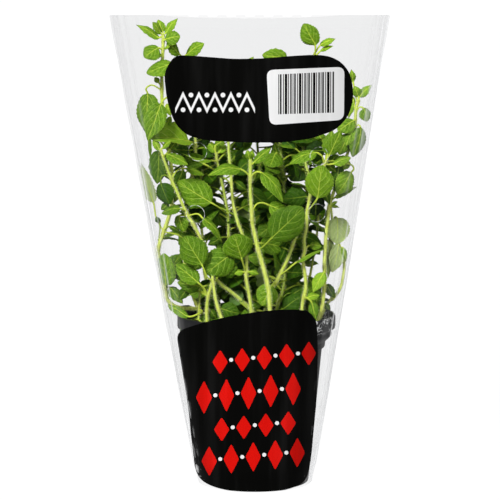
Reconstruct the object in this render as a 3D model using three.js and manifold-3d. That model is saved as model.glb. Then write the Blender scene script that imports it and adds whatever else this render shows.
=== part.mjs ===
// An oregano plant in its nursery pot, inside a clear tapered film sleeve.
// Millimetres, +Z up, -Y towards the front. The origin is the centre of the pot's base.
import * as THREE from 'three';
import { mergeVertices } from 'three/addons/utils/BufferGeometryUtils.js';
import Module from 'manifold-3d';

const wasm = await Module();
wasm.setup();

// ---------------------------------------------------------------- driving dimensions

const GAP = 0.3;              // clearance between pieces that touch on the real object

const POT_HEIGHT = 108;
const POT_RIM_RADIUS = 50.5;
const POT_BASE_RADIUS = 33.6;
const POT_BODY = [41.9, 86.2];   // top of the tapered body: radius and height
const POT_SHOULDER_RADIUS = 44;   // collar between the body and the stepped rim
const POT_SHOULDER_HEIGHT = 91;
const POT_BAND_RADIUS = 48.2;   // second ridge, below the lip
const POT_LIP_HEIGHT = 8.5;
const POT_WALL = 1.1;
const POT_SEGMENTS = 36;
const DRAIN_RADIUS = 3.5;
const DRAIN_CIRCLE_RADIUS = 23;
const DRAIN_COUNT = 6;

const SOIL_HEIGHT = 97;       // top of the potting mix above the pot's base

const SLEEVE_HEIGHT = 297.6;
const FRONT_EDGE_DROP = 1;    // the sleeve's front edge is cut lower than the back one
const FILM = 0.4;             // stands in for 0.04 mm film
const SLEEVE_SEGMENTS = 48;
const SLEEVE_FOOT_RADIUS = 36.7;
const SLEEVE_CONE_START = 12;   // above this height the sleeve is a straight taper
const HALF_WIDTH = [37.6, 0.1655];   // half the width across: at the base, and per mm of height
const HALF_DEPTH = [38.2, 0.140];   // the same from front to back
const MIDDLE = [-0.9, -0.0115];   // across: at the base, and per mm of height
const SEAM_WIDTH = 1.7;
const SEAM_THICKNESS = 0.6;
const VENT_RADIUS = 5.5;
const VENTS = [[-35.6, 215.6], [37.7, 212.5], [-37.2, 177], [36.5, 177.5]];   // across and up
const NOTCH_WIDTH = 6.3;
const NOTCH_PITCH = 12.45;
const NOTCH_COUNT = 7;
const NOTCH_CENTRE_X = -4.1;

const STEM_SIDES = 5;
const STEM_STEP = 12;         // length of one straight stretch of a stem
const PETIOLE_RADIUS = 0.55;
const PETIOLE_START_RADIUS = 0.35;
const JOIN_DEPTH = 0.7;       // how far below its node a joined leaf starts inside the stem
const BLADE_HALF_THICKNESS = 0.4;
const FILM_MARGIN = 1.1;      // how far a leaf's middle plane stays from the film
const FINE_BLADE = [0.06, 0.25, 0.5, 0.75, 0.97];   // places of a blade's rings along its midrib
const COARSE_BLADE = [0.1, 0.45, 0.95];

// The shoots are drawn on the pot's middle plane, as someone who stands VIEW_DISTANCE in front
// of it with the eye at the sleeve's mouth sees them. A drawn point is [across, up, depth].
const VIEW_DISTANCE = 1300;
const VIEW_X = -4.1;
const VIEW_HEIGHT = 297;

// ---------------------------------------------------------------- solids from meshes

function solidOf(geometry) {
  const bare = geometry.clone();
  bare.deleteAttribute('normal');
  bare.deleteAttribute('uv');
  const merged = mergeVertices(bare, 1e-4);
  const corners = [];
  for (let i = 0; i < merged.index.count; i += 3) {
    const [a, b, c] = [0, 1, 2].map((k) => merged.index.getX(i + k));
    if (a !== b && b !== c && c !== a) corners.push(a, b, c);
  }
  const solid = new wasm.Manifold(new wasm.Mesh({
    numProp: 3,
    vertProperties: new Float32Array(merged.attributes.position.array),
    triVerts: new Uint32Array(corners),
  }));
  return solid;
}

function geometryOf(solid) {
  const mesh = solid.getMesh();
  const geometry = new THREE.BufferGeometry();
  geometry.setAttribute('position', new THREE.BufferAttribute(mesh.vertProperties, 3));
  geometry.setIndex(new THREE.BufferAttribute(mesh.triVerts, 1));
  geometry.computeVertexNormals();
  return geometry;
}

// A closed skin over a row of rings with the same number of points, faces outwards. The squares are
// split one way and the other in turn, so the two sides of a thin blade bend alike.
function loft(rings) {
  const count = rings[0].length;
  const points = rings.flat();
  const faces = [];
  for (let r = 0; r + 1 < rings.length; r += 1) {
    for (let i = 0; i < count; i += 1) {
      const a = r * count + i;
      const b = r * count + ((i + 1) % count);
      if (i % 2 === 0) faces.push([a, b, b + count], [a, b + count, a + count]);
      else faces.push([a, b, a + count], [b, b + count, a + count]);
    }
  }
  // The end caps fan out from point 1, which is on the midrib of a leaf that is folded up.
  const last = (rings.length - 1) * count;
  for (let i = 2; i < count; i += 1) {
    const next = (i + 1) % count;
    faces.push([1, next, i], [last + 1, last + i, last + next]);
  }
  const volume = faces.reduce((sum, [a, b, c]) => (
    sum + points[a].dot(new THREE.Vector3().crossVectors(points[b], points[c]))), 0);
  const outward = volume > 0 ? faces : faces.map(([a, b, c]) => [a, c, b]);
  const geometry = new THREE.BufferGeometry().setFromPoints(points);
  geometry.setIndex(outward.flat());
  return solidOf(geometry);
}

function latheSolid(profile) {
  const points = profile.map(([r, z]) => new THREE.Vector2(r, z));
  const geometry = new THREE.LatheGeometry(points, POT_SEGMENTS);
  geometry.rotateX(Math.PI / 2);
  return solidOf(geometry);
}

function rod(radius, length, sides) {
  return new THREE.CylinderGeometry(radius, radius, length, sides);
}

// ---------------------------------------------------------------- pot and potting mix

function potSolid() {
  const lipFoot = POT_HEIGHT - POT_LIP_HEIGHT;
  const outside = [
    [0, 0], [POT_BASE_RADIUS - 1, 0], [POT_BASE_RADIUS, 1],
    POT_BODY, [POT_SHOULDER_RADIUS - 0.3, POT_BODY[1] + 1.4],
    [POT_SHOULDER_RADIUS, POT_SHOULDER_HEIGHT],
    [POT_BAND_RADIUS - 1, POT_SHOULDER_HEIGHT + 3], [POT_BAND_RADIUS, POT_SHOULDER_HEIGHT + 5],
    [POT_BAND_RADIUS - 1, lipFoot - 0.6], [POT_RIM_RADIUS - 0.4, lipFoot],
    [POT_RIM_RADIUS, lipFoot + 1], [POT_RIM_RADIUS, POT_HEIGHT - 1],
    [POT_RIM_RADIUS - 0.6, POT_HEIGHT],
  ];
  const inside = [
    [POT_RIM_RADIUS - POT_WALL - 0.2, POT_HEIGHT], [POT_RIM_RADIUS - POT_WALL - 0.5, lipFoot + 1],
    [POT_BAND_RADIUS - POT_WALL - 0.6, lipFoot - 1],
    [POT_BAND_RADIUS - POT_WALL - 0.8, POT_SHOULDER_HEIGHT + 4],
    [POT_SHOULDER_RADIUS - POT_WALL, POT_SHOULDER_HEIGHT],
    [POT_SHOULDER_RADIUS - POT_WALL - 0.2, POT_BODY[1] + 2.2], [POT_BODY[0] - POT_WALL, POT_BODY[1] + 0.9],
    [POT_BASE_RADIUS - POT_WALL, 1 + POT_WALL], [0, 1 + POT_WALL],
  ];
  let pot = latheSolid([...outside, ...inside]);
  for (let k = 0; k < DRAIN_COUNT; k += 1) {
    const angle = (k + 0.5) * 2 * Math.PI / DRAIN_COUNT;
    const hole = rod(DRAIN_RADIUS, 10, 16).rotateX(Math.PI / 2);
    hole.translate(DRAIN_CIRCLE_RADIUS * Math.cos(angle), DRAIN_CIRCLE_RADIUS * Math.sin(angle), 0);
    pot = pot.subtract(solidOf(hole));
  }
  return pot;
}

function pottingMixSolid() {
  const floor = 1 + POT_WALL + GAP;
  const wallGap = POT_WALL + GAP;
  const shoulder = POT_SHOULDER_RADIUS - wallGap;
  return latheSolid([
    [0, floor], [POT_BASE_RADIUS - wallGap, floor],
    [POT_BODY[0] - wallGap - 0.1, POT_BODY[1] + 0.8], [shoulder - 0.3, POT_BODY[1] + 2.6],
    [shoulder, SOIL_HEIGHT - 1.5],
    [shoulder - 3, SOIL_HEIGHT], [0, SOIL_HEIGHT],
  ]);
}

// ---------------------------------------------------------------- sleeve

// The sleeve's outer section at a height: half width, half depth and middle.
function sleeveSection(z) {
  const tuck = Math.min(1, z / SLEEVE_CONE_START) ** 0.7;
  const blend = (cone) => SLEEVE_FOOT_RADIUS + (cone - SLEEVE_FOOT_RADIUS) * tuck;
  return {
    a: blend(HALF_WIDTH[0] + HALF_WIDTH[1] * z),
    b: blend(HALF_DEPTH[0] + HALF_DEPTH[1] * z),
    cx: MIDDLE[0] + MIDDLE[1] * z,
  };
}

function sleeveRing(z, inset, at = z) {
  const { a, b, cx } = sleeveSection(z);
  return Array.from({ length: SLEEVE_SEGMENTS }, (_, i) => {
    const angle = 2 * Math.PI * i / SLEEVE_SEGMENTS;
    const [x, y] = [(a - inset) * Math.cos(angle), (b - inset) * Math.sin(angle)];
    return new THREE.Vector3(cx + x, y, at);
  });
}

function boxSolid(width, depth, height, x, y, z) {
  return solidOf(new THREE.BoxGeometry(width, depth, height).translate(x, y, z));
}

// A welded side seam: a narrow flange that stands out from the sleeve's edge.
function seamSolid(side) {
  const half = SEAM_THICKNESS / 2;
  return loft([2, SLEEVE_CONE_START, 100, SLEEVE_HEIGHT - 90, SLEEVE_HEIGHT].map((z) => {
    const { a, cx } = sleeveSection(z);
    const inner = cx + side * (a - FILM / 2);
    const narrow = side > 0 ? Math.min(1, (SLEEVE_HEIGHT - z) / 90) : 0;
    const outer = cx + side * (a + Math.max(0.3, SEAM_WIDTH * Math.min(1, z / 100) - narrow));
    return [[inner, -half], [outer, -half], [outer, half], [inner, half]].map(
      ([x, y]) => new THREE.Vector3(x, y, z));
  }));
}

function sleeveSolid() {
  const heights = [0, SLEEVE_CONE_START / 3, SLEEVE_CONE_START, SLEEVE_HEIGHT];
  const outer = loft(heights.map((z) => sleeveRing(z, 0)));
  const inner = loft([
    sleeveRing(0, FILM, -1), ...heights.map((z) => sleeveRing(z, FILM)),
    sleeveRing(SLEEVE_HEIGHT, FILM, SLEEVE_HEIGHT + 1),
  ]);
  let sleeve = outer.subtract(inner).add(seamSolid(-1)).add(seamSolid(1));
  for (const [x, height] of VENTS) {
    sleeve = sleeve.subtract(solidOf(rod(VENT_RADIUS, 200, 24).translate(x, 0, height)));
  }
  const front = boxSolid(240, 120, 4, 0, -60.5, SLEEVE_HEIGHT - FRONT_EDGE_DROP + 2);
  sleeve = sleeve.subtract(front);
  for (let k = 0; k < NOTCH_COUNT; k += 1) {
    const x = NOTCH_CENTRE_X + (k - (NOTCH_COUNT - 1) / 2) * NOTCH_PITCH;
    sleeve = sleeve.subtract(boxSolid(NOTCH_WIDTH, 60, 4, x, 70, SLEEVE_HEIGHT - FRONT_EDGE_DROP + 2));
  }
  return sleeve;
}

// Moves a point that would poke through the film back inside it.
function insideFilm(point, margin) {
  const { a, b, cx } = sleeveSection(point.z);
  const reach = Math.hypot((point.x - cx) / (a - FILM - margin), point.y / (b - FILM - margin));
  if (reach <= 1) return point;
  return new THREE.Vector3(cx + (point.x - cx) / reach, point.y / reach, point.z);
}

// ---------------------------------------------------------------- stems and leaves

function placed([across, up, depth]) {
  const k = (VIEW_DISTANCE + depth) / VIEW_DISTANCE;
  return new THREE.Vector3(VIEW_X + (across - VIEW_X) * k, depth, VIEW_HEIGHT + (up - VIEW_HEIGHT) * k);
}

function drawn(point) {
  const k = VIEW_DISTANCE / (VIEW_DISTANCE + point.y);
  return [VIEW_X + (point.x - VIEW_X) * k, VIEW_HEIGHT + (point.z - VIEW_HEIGHT) * k];
}

// The stem's middle line, from the potting mix to the tip.
function stemLine(shoot) {
  const [x, y] = shoot.foot;
  const start = [new THREE.Vector3(x, y, SOIL_HEIGHT + GAP), new THREE.Vector3(x, y, SOIL_HEIGHT + 3)];
  const curve = new THREE.CatmullRomCurve3([...start, ...shoot.line.map(placed)]);
  const steps = Math.ceil(curve.getLength() / STEM_STEP);
  return curve.getSpacedPoints(steps).map((point) => insideFilm(point, shoot.thick / 2 + GAP));
}

function stemRadius(shoot, share) {
  return shoot.thick / 2 * (1 - 0.45 * share);
}

function stemSolid(shoot, line) {
  const up = new THREE.Vector3(0, 0, 1);
  let side = new THREE.Vector3(1, 0, 0);
  return loft(line.map((point, i) => {
    const ahead = line[Math.min(i + 1, line.length - 1)];
    const behind = line[Math.max(i - 1, 0)];
    const along = i === 0 ? up : ahead.clone().sub(behind).normalize();
    side = side.clone().addScaledVector(along, -side.dot(along)).normalize();
    const across = new THREE.Vector3().crossVectors(along, side);
    const radius = stemRadius(shoot, i / (line.length - 1));
    return Array.from({ length: STEM_SIDES }, (_, k) => {
      const angle = 2 * Math.PI * k / STEM_SIDES;
      return point.clone().addScaledVector(side, radius * Math.cos(angle))
        .addScaledVector(across, radius * Math.sin(angle));
    });
  }));
}

// The place on the stem that a leaf's stalk grows from, and the stem's radius there.
function nodeOn(shoot, line, [across, up]) {
  let best = { far: Infinity };
  for (let i = 0; i + 1 < line.length; i += 1) {
    for (let s = 0; s <= 1; s += 0.1) {
      const point = line[i].clone().lerp(line[i + 1], s);
      const [x, z] = drawn(point);
      const far = Math.hypot(x - across, z - up);
      if (far >= best.far) continue;
      const radius = stemRadius(shoot, (i + s) / (line.length - 1));
      best = { far, point, radius, along: line[i + 1].clone().sub(line[i]).normalize() };
    }
  }
  return best;
}

// Half the blade's width, as a share of its largest, along the midrib.
function bladeShare(t) {
  return Math.sin(Math.PI * t ** 0.75) ** 0.8;
}

// A leaf: a thin stalk from the stem, then an ovate blade whose upper side looks towards `face`.
// A leaf that is a piece of its own starts just clear of the stem. Any other starts inside it.
function leafSolid(leaf, node) {
  const base = placed(leaf.base);
  const tip = placed(leaf.tip);
  const face = new THREE.Vector3(...leaf.face).normalize();
  const middle = base.clone().lerp(tip, 0.5).addScaledVector(face, leaf.arch ?? 1);
  const via = (leaf.via ?? []).map(placed);
  const start = node.point.clone();
  if (leaf.piece) {
    const away = (via[0] ?? base).clone().sub(start);
    away.addScaledVector(node.along, -away.dot(node.along)).normalize();
    start.addScaledVector(away, node.radius + GAP + PETIOLE_START_RADIUS / 2);
  } else {
    start.addScaledVector(node.along, -JOIN_DEPTH);
  }
  const curve = new THREE.CatmullRomCurve3([start, ...via, base, middle, tip]);
  const spans = via.length + 3;
  const stalkSteps = leaf.piece ? 2 * (via.length + 1) : via.length + 1;
  const bladeFrom = (via.length + 1) / spans;
  const stations = [];
  for (let k = 0; k < stalkSteps; k += 1) {
    const radius = k === 0 ? PETIOLE_START_RADIUS : PETIOLE_RADIUS;
    stations.push({ share: bladeFrom * k / stalkSteps, half: radius, thick: radius, fold: 0 });
  }
  for (const t of leaf.piece ? FINE_BLADE : COARSE_BLADE) {
    const half = leaf.width / 2 * bladeShare(t);
    stations.push({
      share: bladeFrom + (1 - bladeFrom) * t, half, thick: BLADE_HALF_THICKNESS, fold: leaf.fold ?? -0.12,
    });
  }
  // From the tip back to the stem, so that the stalk carries on from the blade without a twist.
  let normal = face;
  const rings = stations.reverse().map(({ share, half, thick, fold }) => {
    const point = insideFilm(curve.getPoint(share), FILM_MARGIN);
    const along = curve.getTangent(share);
    const from = share < bladeFrom ? normal : face;
    normal = from.clone().addScaledVector(along, -from.dot(along)).normalize();
    const side = new THREE.Vector3().crossVectors(along, normal);
    const edge = (sign) => insideFilm(
      point.clone().addScaledVector(side, sign * half).addScaledVector(normal, fold * half), FILM_MARGIN);
    return [
      edge(1), point.clone().addScaledVector(normal, thick),
      edge(-1), point.clone().addScaledVector(normal, -thick),
    ];
  });
  return loft(rings);
}

// ---------------------------------------------------------------- the plant's layout

const UP = [0, 0, 1];
const FRONT = [0, -1, 0];
const UP_FRONT = [0, -0.7, 0.7];
const LEFT_FRONT = [-0.45, -0.9, 0.1];
const RIGHT_FRONT = [0.45, -0.9, 0.1];

// Each shoot: its foot [x, y] on the potting mix, its drawn line, and its leaves. A leaf named by
// `piece` is a piece of its own. The others grow from the stem in one solid with it.
// `pairs` fills a bare stretch with opposite leaves: [lowest, highest, spacing, size, turn].
const SHOOTS = {
  rim_arch: {
    foot: [-31, 8], thick: 2.8,
    line: [[-33, 104, 7], [-37.1, 110.5, 6], [-42.4, 111.3, 4], [-48.7, 111.7, 2], [-53, 113, 1],
      [-56.7, 116.8, 0], [-59.1, 120.5, 0], [-62.3, 130.2, -1], [-63.7, 138, -2], [-63.6, 145.7, -3],
      [-60.9, 155.3, -5], [-57.2, 165.5, -7], [-54.2, 176, -9], [-53.2, 190, -11], [-55, 210, -13],
      [-58.3, 229, -14], [-59.7, 245, -14], [-59.6, 262, -14], [-59, 275, -15], [-58.7, 286, -15]],
    leaves: [
      { piece: 'top', at: [-60, 276.7], base: [-61.5, 277, -17], tip: [-70.8, 271, -22], width: 12,
        face: [0, -0.85, 0.5] },
      { piece: 'hook', at: [-60, 252.2], via: [[-66.2, 253.7, -13], [-69.8, 251.3, -12]],
        base: [-68.8, 248.5, -11], tip: [-69, 222, -8], width: 17, face: LEFT_FRONT },
      { piece: 'side', at: [-59, 161.2], via: [[-63.6, 169.2, -4]], base: [-65.3, 179, -4],
        tip: [-73, 204.5, -6], width: 10, face: [0.45, 0.9, -0.1], arch: -1 },
      { piece: 'low', at: [-62.6, 129], base: [-57.8, 126.5, -8], tip: [-58.9, 146.8, -10], width: 15,
        face: LEFT_FRONT },
      { at: [-59.6, 236], base: [-56.6, 241.5, -13], tip: [-54.2, 234, -13], width: 4.5, face: FRONT },
      { at: [-58.7, 286], base: [-61, 283.5, -15], tip: [-75.8, 291.6, -17], width: 6.5, face: UP_FRONT },
      { at: [-58.7, 286], base: [-57.6, 286, -15], tip: [-49.5, 295.6, -14], width: 6.5,
        face: [-0.4, -0.75, 0.5] },
      { at: [-58.7, 286], base: [-60, 286, -15.5], tip: [-65.4, 293.2, -19], width: 6, face: UP_FRONT },
      { at: [-58.7, 286], base: [-59, 287, -13], tip: [-62, 294.8, -9], width: 6, face: FRONT },
      { at: [-58.9, 281], base: [-57.6, 282.2, -17], tip: [-48, 284.3, -20], width: 10,
        face: [0.1, -0.9, 0.4] },
      { at: [-60, 252.5], base: [-61.5, 255, -16], tip: [-64.3, 258.6, -17], width: 3.5, face: FRONT },
      { at: [-60, 276.7], base: [-58, 276.6, -15], tip: [-54.4, 278, -17], width: 4, face: UP_FRONT },
      { at: [-60, 276.7], base: [-60.5, 272, -17], tip: [-66, 274.5, -20], width: 5, face: UP_FRONT },
      { at: [-60.5, 124], base: [-55.5, 125, -6], tip: [-47, 114.3, -10], width: 8, face: UP_FRONT },
      { at: [-62.6, 130], base: [-57, 133, -3], tip: [-48.5, 146, -4], width: 12, face: FRONT },
      { at: [-59, 161.2], base: [-49.5, 158.3, -12], tip: [-38, 150, -10], width: 11, face: FRONT },
      { at: [-62.8, 150], base: [-61.5, 166, -6], tip: [-64, 170.3, -7], width: 3.5, face: FRONT },
      { at: [-59, 161.2], base: [-55.5, 164, -10], tip: [-47.5, 159.2, -12], width: 4, face: UP_FRONT },
      { at: [-55.2, 212], via: [[-60, 217, -14]], base: [-67.4, 224, -8], tip: [-66.8, 204.5, -7], width: 6,
        face: [-0.9, -0.4, 0] },
      { at: [-57, 222], base: [-56.6, 228, -18], tip: [-54, 234, -20], width: 4.5, face: UP_FRONT },
      { at: [-53.6, 197], base: [-61.2, 211.5, -16], tip: [-63, 191, -20], width: 12.5, face: FRONT },
      { at: [-53.4, 195], base: [-59.5, 201, -9], tip: [-55, 193.5, -9], width: 4, face: FRONT },
      { at: [-60.5, 124], base: [-52, 134, -8], tip: [-46, 129.5, -8], width: 5, face: FRONT },
      { at: [-62.6, 130], base: [-50, 135.5, -9], tip: [-55.8, 128.5, -9], width: 5, face: FRONT },
      { at: [-53.4, 190], base: [-49, 187.5, -14], tip: [-52.2, 179, -14], width: 4.5, face: FRONT },
      { at: [-53.4, 195], base: [-47, 199.5, -12], tip: [-51, 189, -12], width: 7.5, face: FRONT },
    ],
  },
  front_left: {
    foot: [3, -6], thick: 2.4,
    line: [[-1, 108, -9], [-8, 115, -11], [-15, 121, -14], [-25.4, 130, -18], [-34.4, 154, -24],
      [-40.3, 165.5, -27], [-44, 171.5, -28], [-51.5, 188.5, -30], [-54.2, 194.4, -30],
      [-59.3, 208.8, -30], [-60.8, 213.5, -30]],
    leaves: [
      { piece: 'top', at: [-59.3, 208.8], base: [-57, 210, -34], tip: [-43.3, 203.2, -38], width: 10,
        face: [0, -0.5, 0.85] },
      { piece: 'hook', at: [-54.2, 194.4], via: [[-57.6, 196.6, -28.5], [-60.4, 195.6, -28]],
        base: [-60.6, 191.8, -28], tip: [-55, 178, -30], width: 12.5, face: LEFT_FRONT },
      { piece: 'right', at: [-44, 171.3], via: [[-37.1, 171.9, -31]], base: [-34.2, 169.3, -32],
        tip: [-21.6, 153.4, -30], width: 9, face: [0.5, -0.5, 0.7], arch: 2.5 },
      { piece: 'left', at: [-45.3, 174], base: [-48.2, 175.4, -32], tip: [-60.4, 172.4, -29], width: 9,
        face: [0, -0.6, 0.8], arch: 1.5 },
      { at: [-44.2, 171.6], base: [-48.9, 170.8, -25], tip: [-46, 160.5, -25], width: 10,
        face: LEFT_FRONT },
      { at: [-40.3, 165.5], base: [-44.6, 164.6, -19], tip: [-38.6, 158, -19], width: 4.6, face: FRONT },
      { at: [-45.3, 174], base: [-55.5, 179, -24], tip: [-60.5, 174.5, -24], width: 5, face: FRONT },
      { at: [-59.3, 208.8], base: [-54.8, 213, -22], tip: [-50.5, 218.5, -22], width: 5, face: FRONT },
      { at: [-60.8, 213.5], base: [-61.3, 212.8, -30], tip: [-65.6, 219, -29], width: 5, face: UP_FRONT },
      { at: [-60.8, 213.5], base: [-59.6, 213.8, -31], tip: [-54, 218.6, -33], width: 5,
        face: UP_FRONT },
      { at: [-54, 194.4], via: [[-51.5, 198.6, -28], [-48, 201, -27]], base: [-45, 200.9, -26],
        tip: [-33, 196.8, -23], width: 9, face: [0, -0.4, 0.9] },
    ],
  },
  back_left: {
    foot: [-34, 16], thick: 2.2,
    line: [[-37.6, 111.9, 15], [-41.9, 123.3, 14], [-45.4, 135, 13], [-45.8, 150, 11], [-45.4, 165, 8],
      [-43, 185, 6], [-39.3, 203, 4], [-38.5, 215, 2], [-40, 235, -1], [-44.8, 260, -6],
      [-46.6, 272, -8]],
    leaves: [
      { piece: 'broad', at: [-38.6, 217.5], base: [-42.5, 218, -13], tip: [-69.4, 220.2, -28], width: 20,
        face: UP_FRONT, fold: 0.6, arch: 2 },
      { piece: 'upper', at: [-45, 261], base: [-52, 267, -22], tip: [-69.4, 261, -26], width: 13.5,
        face: UP_FRONT },
      { piece: 'lower', at: [-40.3, 238], via: [[-50, 245.5, -22], [-54.5, 246.2, -26], [-57.8, 245.2, -28]],
        base: [-60.2, 242, -29], tip: [-69, 218.5, -32], width: 13.5, face: FRONT, fold: 0.2 },
      { at: [-38.6, 213], base: [-42.5, 212.5, 2], tip: [-52.5, 213, 2], width: 7, face: FRONT },
      { at: [-46.6, 272], base: [-48.5, 273, -10], tip: [-56.6, 280, -15], width: 8.5, face: [0.3, -0.8, 0.5] },
      { at: [-46.6, 272], base: [-44.5, 272.5, -10], tip: [-33, 279.8, -14], width: 10,
        face: [-0.2, -0.8, 0.6], arch: 1.5 },
      { at: [-38.6, 213], base: [-43, 217, 8], tip: [-29, 213.5, 8], width: 13, face: FRONT },
    ],
    pairs: [150, 205, 27, 15, 0.6],
  },
  mid_left: {
    foot: [-4, 10], thick: 2.2,
    line: [[-6.2, 107.5, 8], [-12.6, 114.6, 6], [-18, 125, 2], [-18, 140, -4], [-17.7, 158, -8],
      [-18.2, 173, -10], [-19.5, 180, -11], [-21.5, 190, -12], [-23.5, 198, -13], [-25.2, 207, -14],
      [-25.5, 211, -14]],
    leaves: [
      { piece: 'wavy', at: [-25, 206], base: [-28.5, 206, -19], tip: [-47.3, 210.6, -26], width: 9,
        face: [0, -0.15, 1], arch: -1 },
      { piece: 'broad', at: [-18.2, 173.2], via: [[-24, 176.2, -19]], base: [-28.5, 179, -23],
        tip: [-50.3, 192.5, -24], width: 18, face: FRONT },
      { piece: 'hanging', at: [-17.7, 152], via: [[-16.4, 151, -18]], base: [-16, 147, -23.5],
        tip: [-32.3, 133.6, -29], width: 18.5, face: FRONT },
      { at: [-25.5, 211], base: [-26, 211, -13], tip: [-30, 217, -9], width: 6, face: UP_FRONT },
      { at: [-25.4, 209], base: [-26, 215.5, -15], tip: [-19.8, 219.6, -15], width: 5, face: FRONT },
      { at: [-25, 206], base: [-18.5, 212.5, -10], tip: [-23.5, 208, -10], width: 4.5, face: FRONT },
      { at: [-17.7, 157], base: [-22, 157, -11], tip: [-31, 152, -13], width: 6, face: FRONT },
      { at: [-25.5, 211], base: [-24, 211, -13], tip: [-19.5, 216, -8], width: 6, face: UP_FRONT },
    ],
  },
  middle: {
    foot: [-3, -18], thick: 2.2,
    line: [[-3.6, 112, -18], [-4.8, 121, -18.5], [-6.7, 132, -20], [-6.2, 142, -21],
      [-8.8, 158.3, -22], [-11.7, 166, -22], [-13.8, 173.7, -21], [-15, 180, -20],
      [-16.3, 198.3, -17], [-17.6, 213.5, -13], [-17, 235, -8], [-12, 252, -5], [-8.5, 262, -4]],
    leaves: [
      { piece: 'broad', at: [-6.6, 136], base: [-9.4, 143.3, -27], tip: [-14.3, 159, -33], width: 19.5,
        face: FRONT },
      { at: [-6.7, 135], base: [-8.5, 134.8, -21], tip: [-14.2, 133.8, -23], width: 5.5,
        face: UP_FRONT },
      { at: [-6.7, 135], base: [-4.8, 135, -21], tip: [1.6, 133.4, -22], width: 4.5, face: UP_FRONT },
      { at: [-13.8, 173.7], base: [-9, 176, -14], tip: [2, 180, -8], width: 12, face: UP_FRONT },
      { at: [-8.5, 262], base: [-7, 264, -6], tip: [-1.8, 271.6, -10], width: 5, face: UP_FRONT },
      { at: [-15.8, 192], base: [-13.5, 192.3, -13], tip: [-5.5, 186.5, -13], width: 5, face: FRONT },
      { at: [-6.5, 131], base: [-5, 135.5, -15], tip: [-14.5, 130.5, -15], width: 6, face: FRONT },
    ],
    pairs: [222, 262, 19, 16, 0.2],
  },
  front: {
    foot: [9, -28], thick: 2.9,
    line: [[8.6, 110.3, -29], [8.2, 119, -30], [7.3, 125.3, -31], [5.9, 131.8, -32],
      [4.2, 138.2, -33], [1.4, 148, -34], [-1.4, 160, -35], [-2.6, 166, -36], [-3, 172.4, -37],
      [-3.9, 187, -38], [-3.9, 194.4, -39], [-3.9, 200, -39], [-3.8, 206, -39]],
    leaves: [
      { piece: 'top', at: [-3.8, 204], base: [-1.8, 204.6, -40], tip: [9.4, 214, -42], width: 7.5,
        face: UP_FRONT },
      { piece: 'left', at: [-3.9, 195], via: [[-6.6, 198.4, -40]], base: [-9.8, 200.3, -41],
        tip: [-31, 196.4, -45], width: 11, face: [0, -0.6, 0.8], arch: 3.5 },
      { piece: 'right', at: [-3.9, 195], via: [[-0.7, 198.5, -41]], base: [3.2, 198.2, -43],
        tip: [16.8, 179.5, -47], width: 13, face: [0.5, -0.6, 0.6], arch: 3 },
      { piece: 'arched', at: [-3, 172.6], via: [[0.1, 178.2, -37], [4, 179, -35]],
        base: [8, 177.6, -34], tip: [22, 170.5, -32], width: 13, face: UP_FRONT },
      { piece: 'broad', at: [1.4, 148.2], via: [[6.5, 153.2, -37]], base: [9.5, 156.4, -39],
        tip: [29.8, 176, -42], width: 21, face: FRONT },
      { at: [-3.9, 194], base: [0.8, 199.8, -30], tip: [-2.2, 192.5, -30], width: 5, face: FRONT },
      { at: [-2.8, 168], base: [1.8, 170.8, -26], tip: [-2.4, 164.8, -26], width: 5.5, face: FRONT },
      { at: [-3.8, 206], base: [-4.3, 206.5, -39], tip: [-5.9, 212.6, -40], width: 4.5, face: FRONT },
      { at: [-3.8, 206], base: [-3.4, 207, -38], tip: [-2.6, 212.8, -35], width: 4, face: FRONT },
    ],
  },
  right_long: {
    foot: [6, -12], thick: 2.2,
    line: [[6.2, 110, -13], [8, 118, -15], [10.7, 125.3, -16], [12.9, 128.8, -17],
      [15.2, 133.5, -18], [19.7, 142.5, -19], [24.3, 155.3, -19], [26.2, 160, -18], [30, 168, -14],
      [33, 178, -8], [33, 195, -4], [30, 210, 0], [29.2, 219, 2], [31, 240, 0], [35, 262, -4],
      [36.8, 274, -6]],
    leaves: [
      { piece: 'edge_on', at: [15.2, 133.7], via: [[20, 136.5, -23]], base: [25.5, 141, -27],
        tip: [43.2, 149.6, -30], width: 8, face: [0, -0.2, 1] },
      { piece: 'shaded', at: [15.6, 134.3], base: [19.5, 134.8, -12], tip: [31.4, 134.2, -9], width: 14,
        face: FRONT },
      { piece: 'inner', at: [22.8, 151.5], base: [20, 153.5, -14], tip: [13.4, 138.5, -12], width: 11.5,
        face: FRONT },
      { piece: 'round', at: [12.3, 128], base: [10, 126.4, -21], tip: [3.2, 113, -24], width: 14,
        face: FRONT },
      { piece: 'top', at: [36.8, 272], base: [37, 278.5, -9], tip: [29.6, 292.2, -12], width: 12,
        face: FRONT },
      { at: [36.8, 273], base: [40, 278.5, -7], tip: [49.8, 282.8, -9], width: 5.5, face: [-0.1, -0.8, 0.6] },
      { at: [36.8, 272], base: [40.2, 275, -7], tip: [48.4, 278.3, -8], width: 4.5, face: [0, -0.6, 0.8] },
    ],
    pairs: [186, 262, 24, 17, 1.1],
  },
  right_front: {
    foot: [28, -18], thick: 2.4,
    line: [[29.6, 114.8, -19], [31.5, 124.5, -20], [31.1, 132.5, -21], [29.6, 143, -22],
      [30.8, 148.7, -23], [30.3, 155.3, -24], [32, 163.4, -25], [32.3, 173.5, -26], [34, 183, -27],
      [38, 194, -29], [43, 203, -31], [44.3, 206.5, -31]],
    leaves: [
      { piece: 'tip', at: [44.3, 206], base: [46.2, 209.5, -33], tip: [53.5, 225.3, -37], width: 10,
        face: FRONT },
      { piece: 'arched', at: [43, 203.5], via: [[41.6, 208.6, -34]], base: [38.2, 210.8, -36],
        tip: [20.6, 203.6, -38], width: 11, face: [0, -0.55, 0.8], arch: 2.5 },
      { piece: 'broad', at: [32.3, 173.7], via: [[36, 178, -32]], base: [38.6, 182, -35],
        tip: [41.5, 203, -40], width: 18, face: FRONT },
      { piece: 'looped', at: [43, 203.2],
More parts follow.
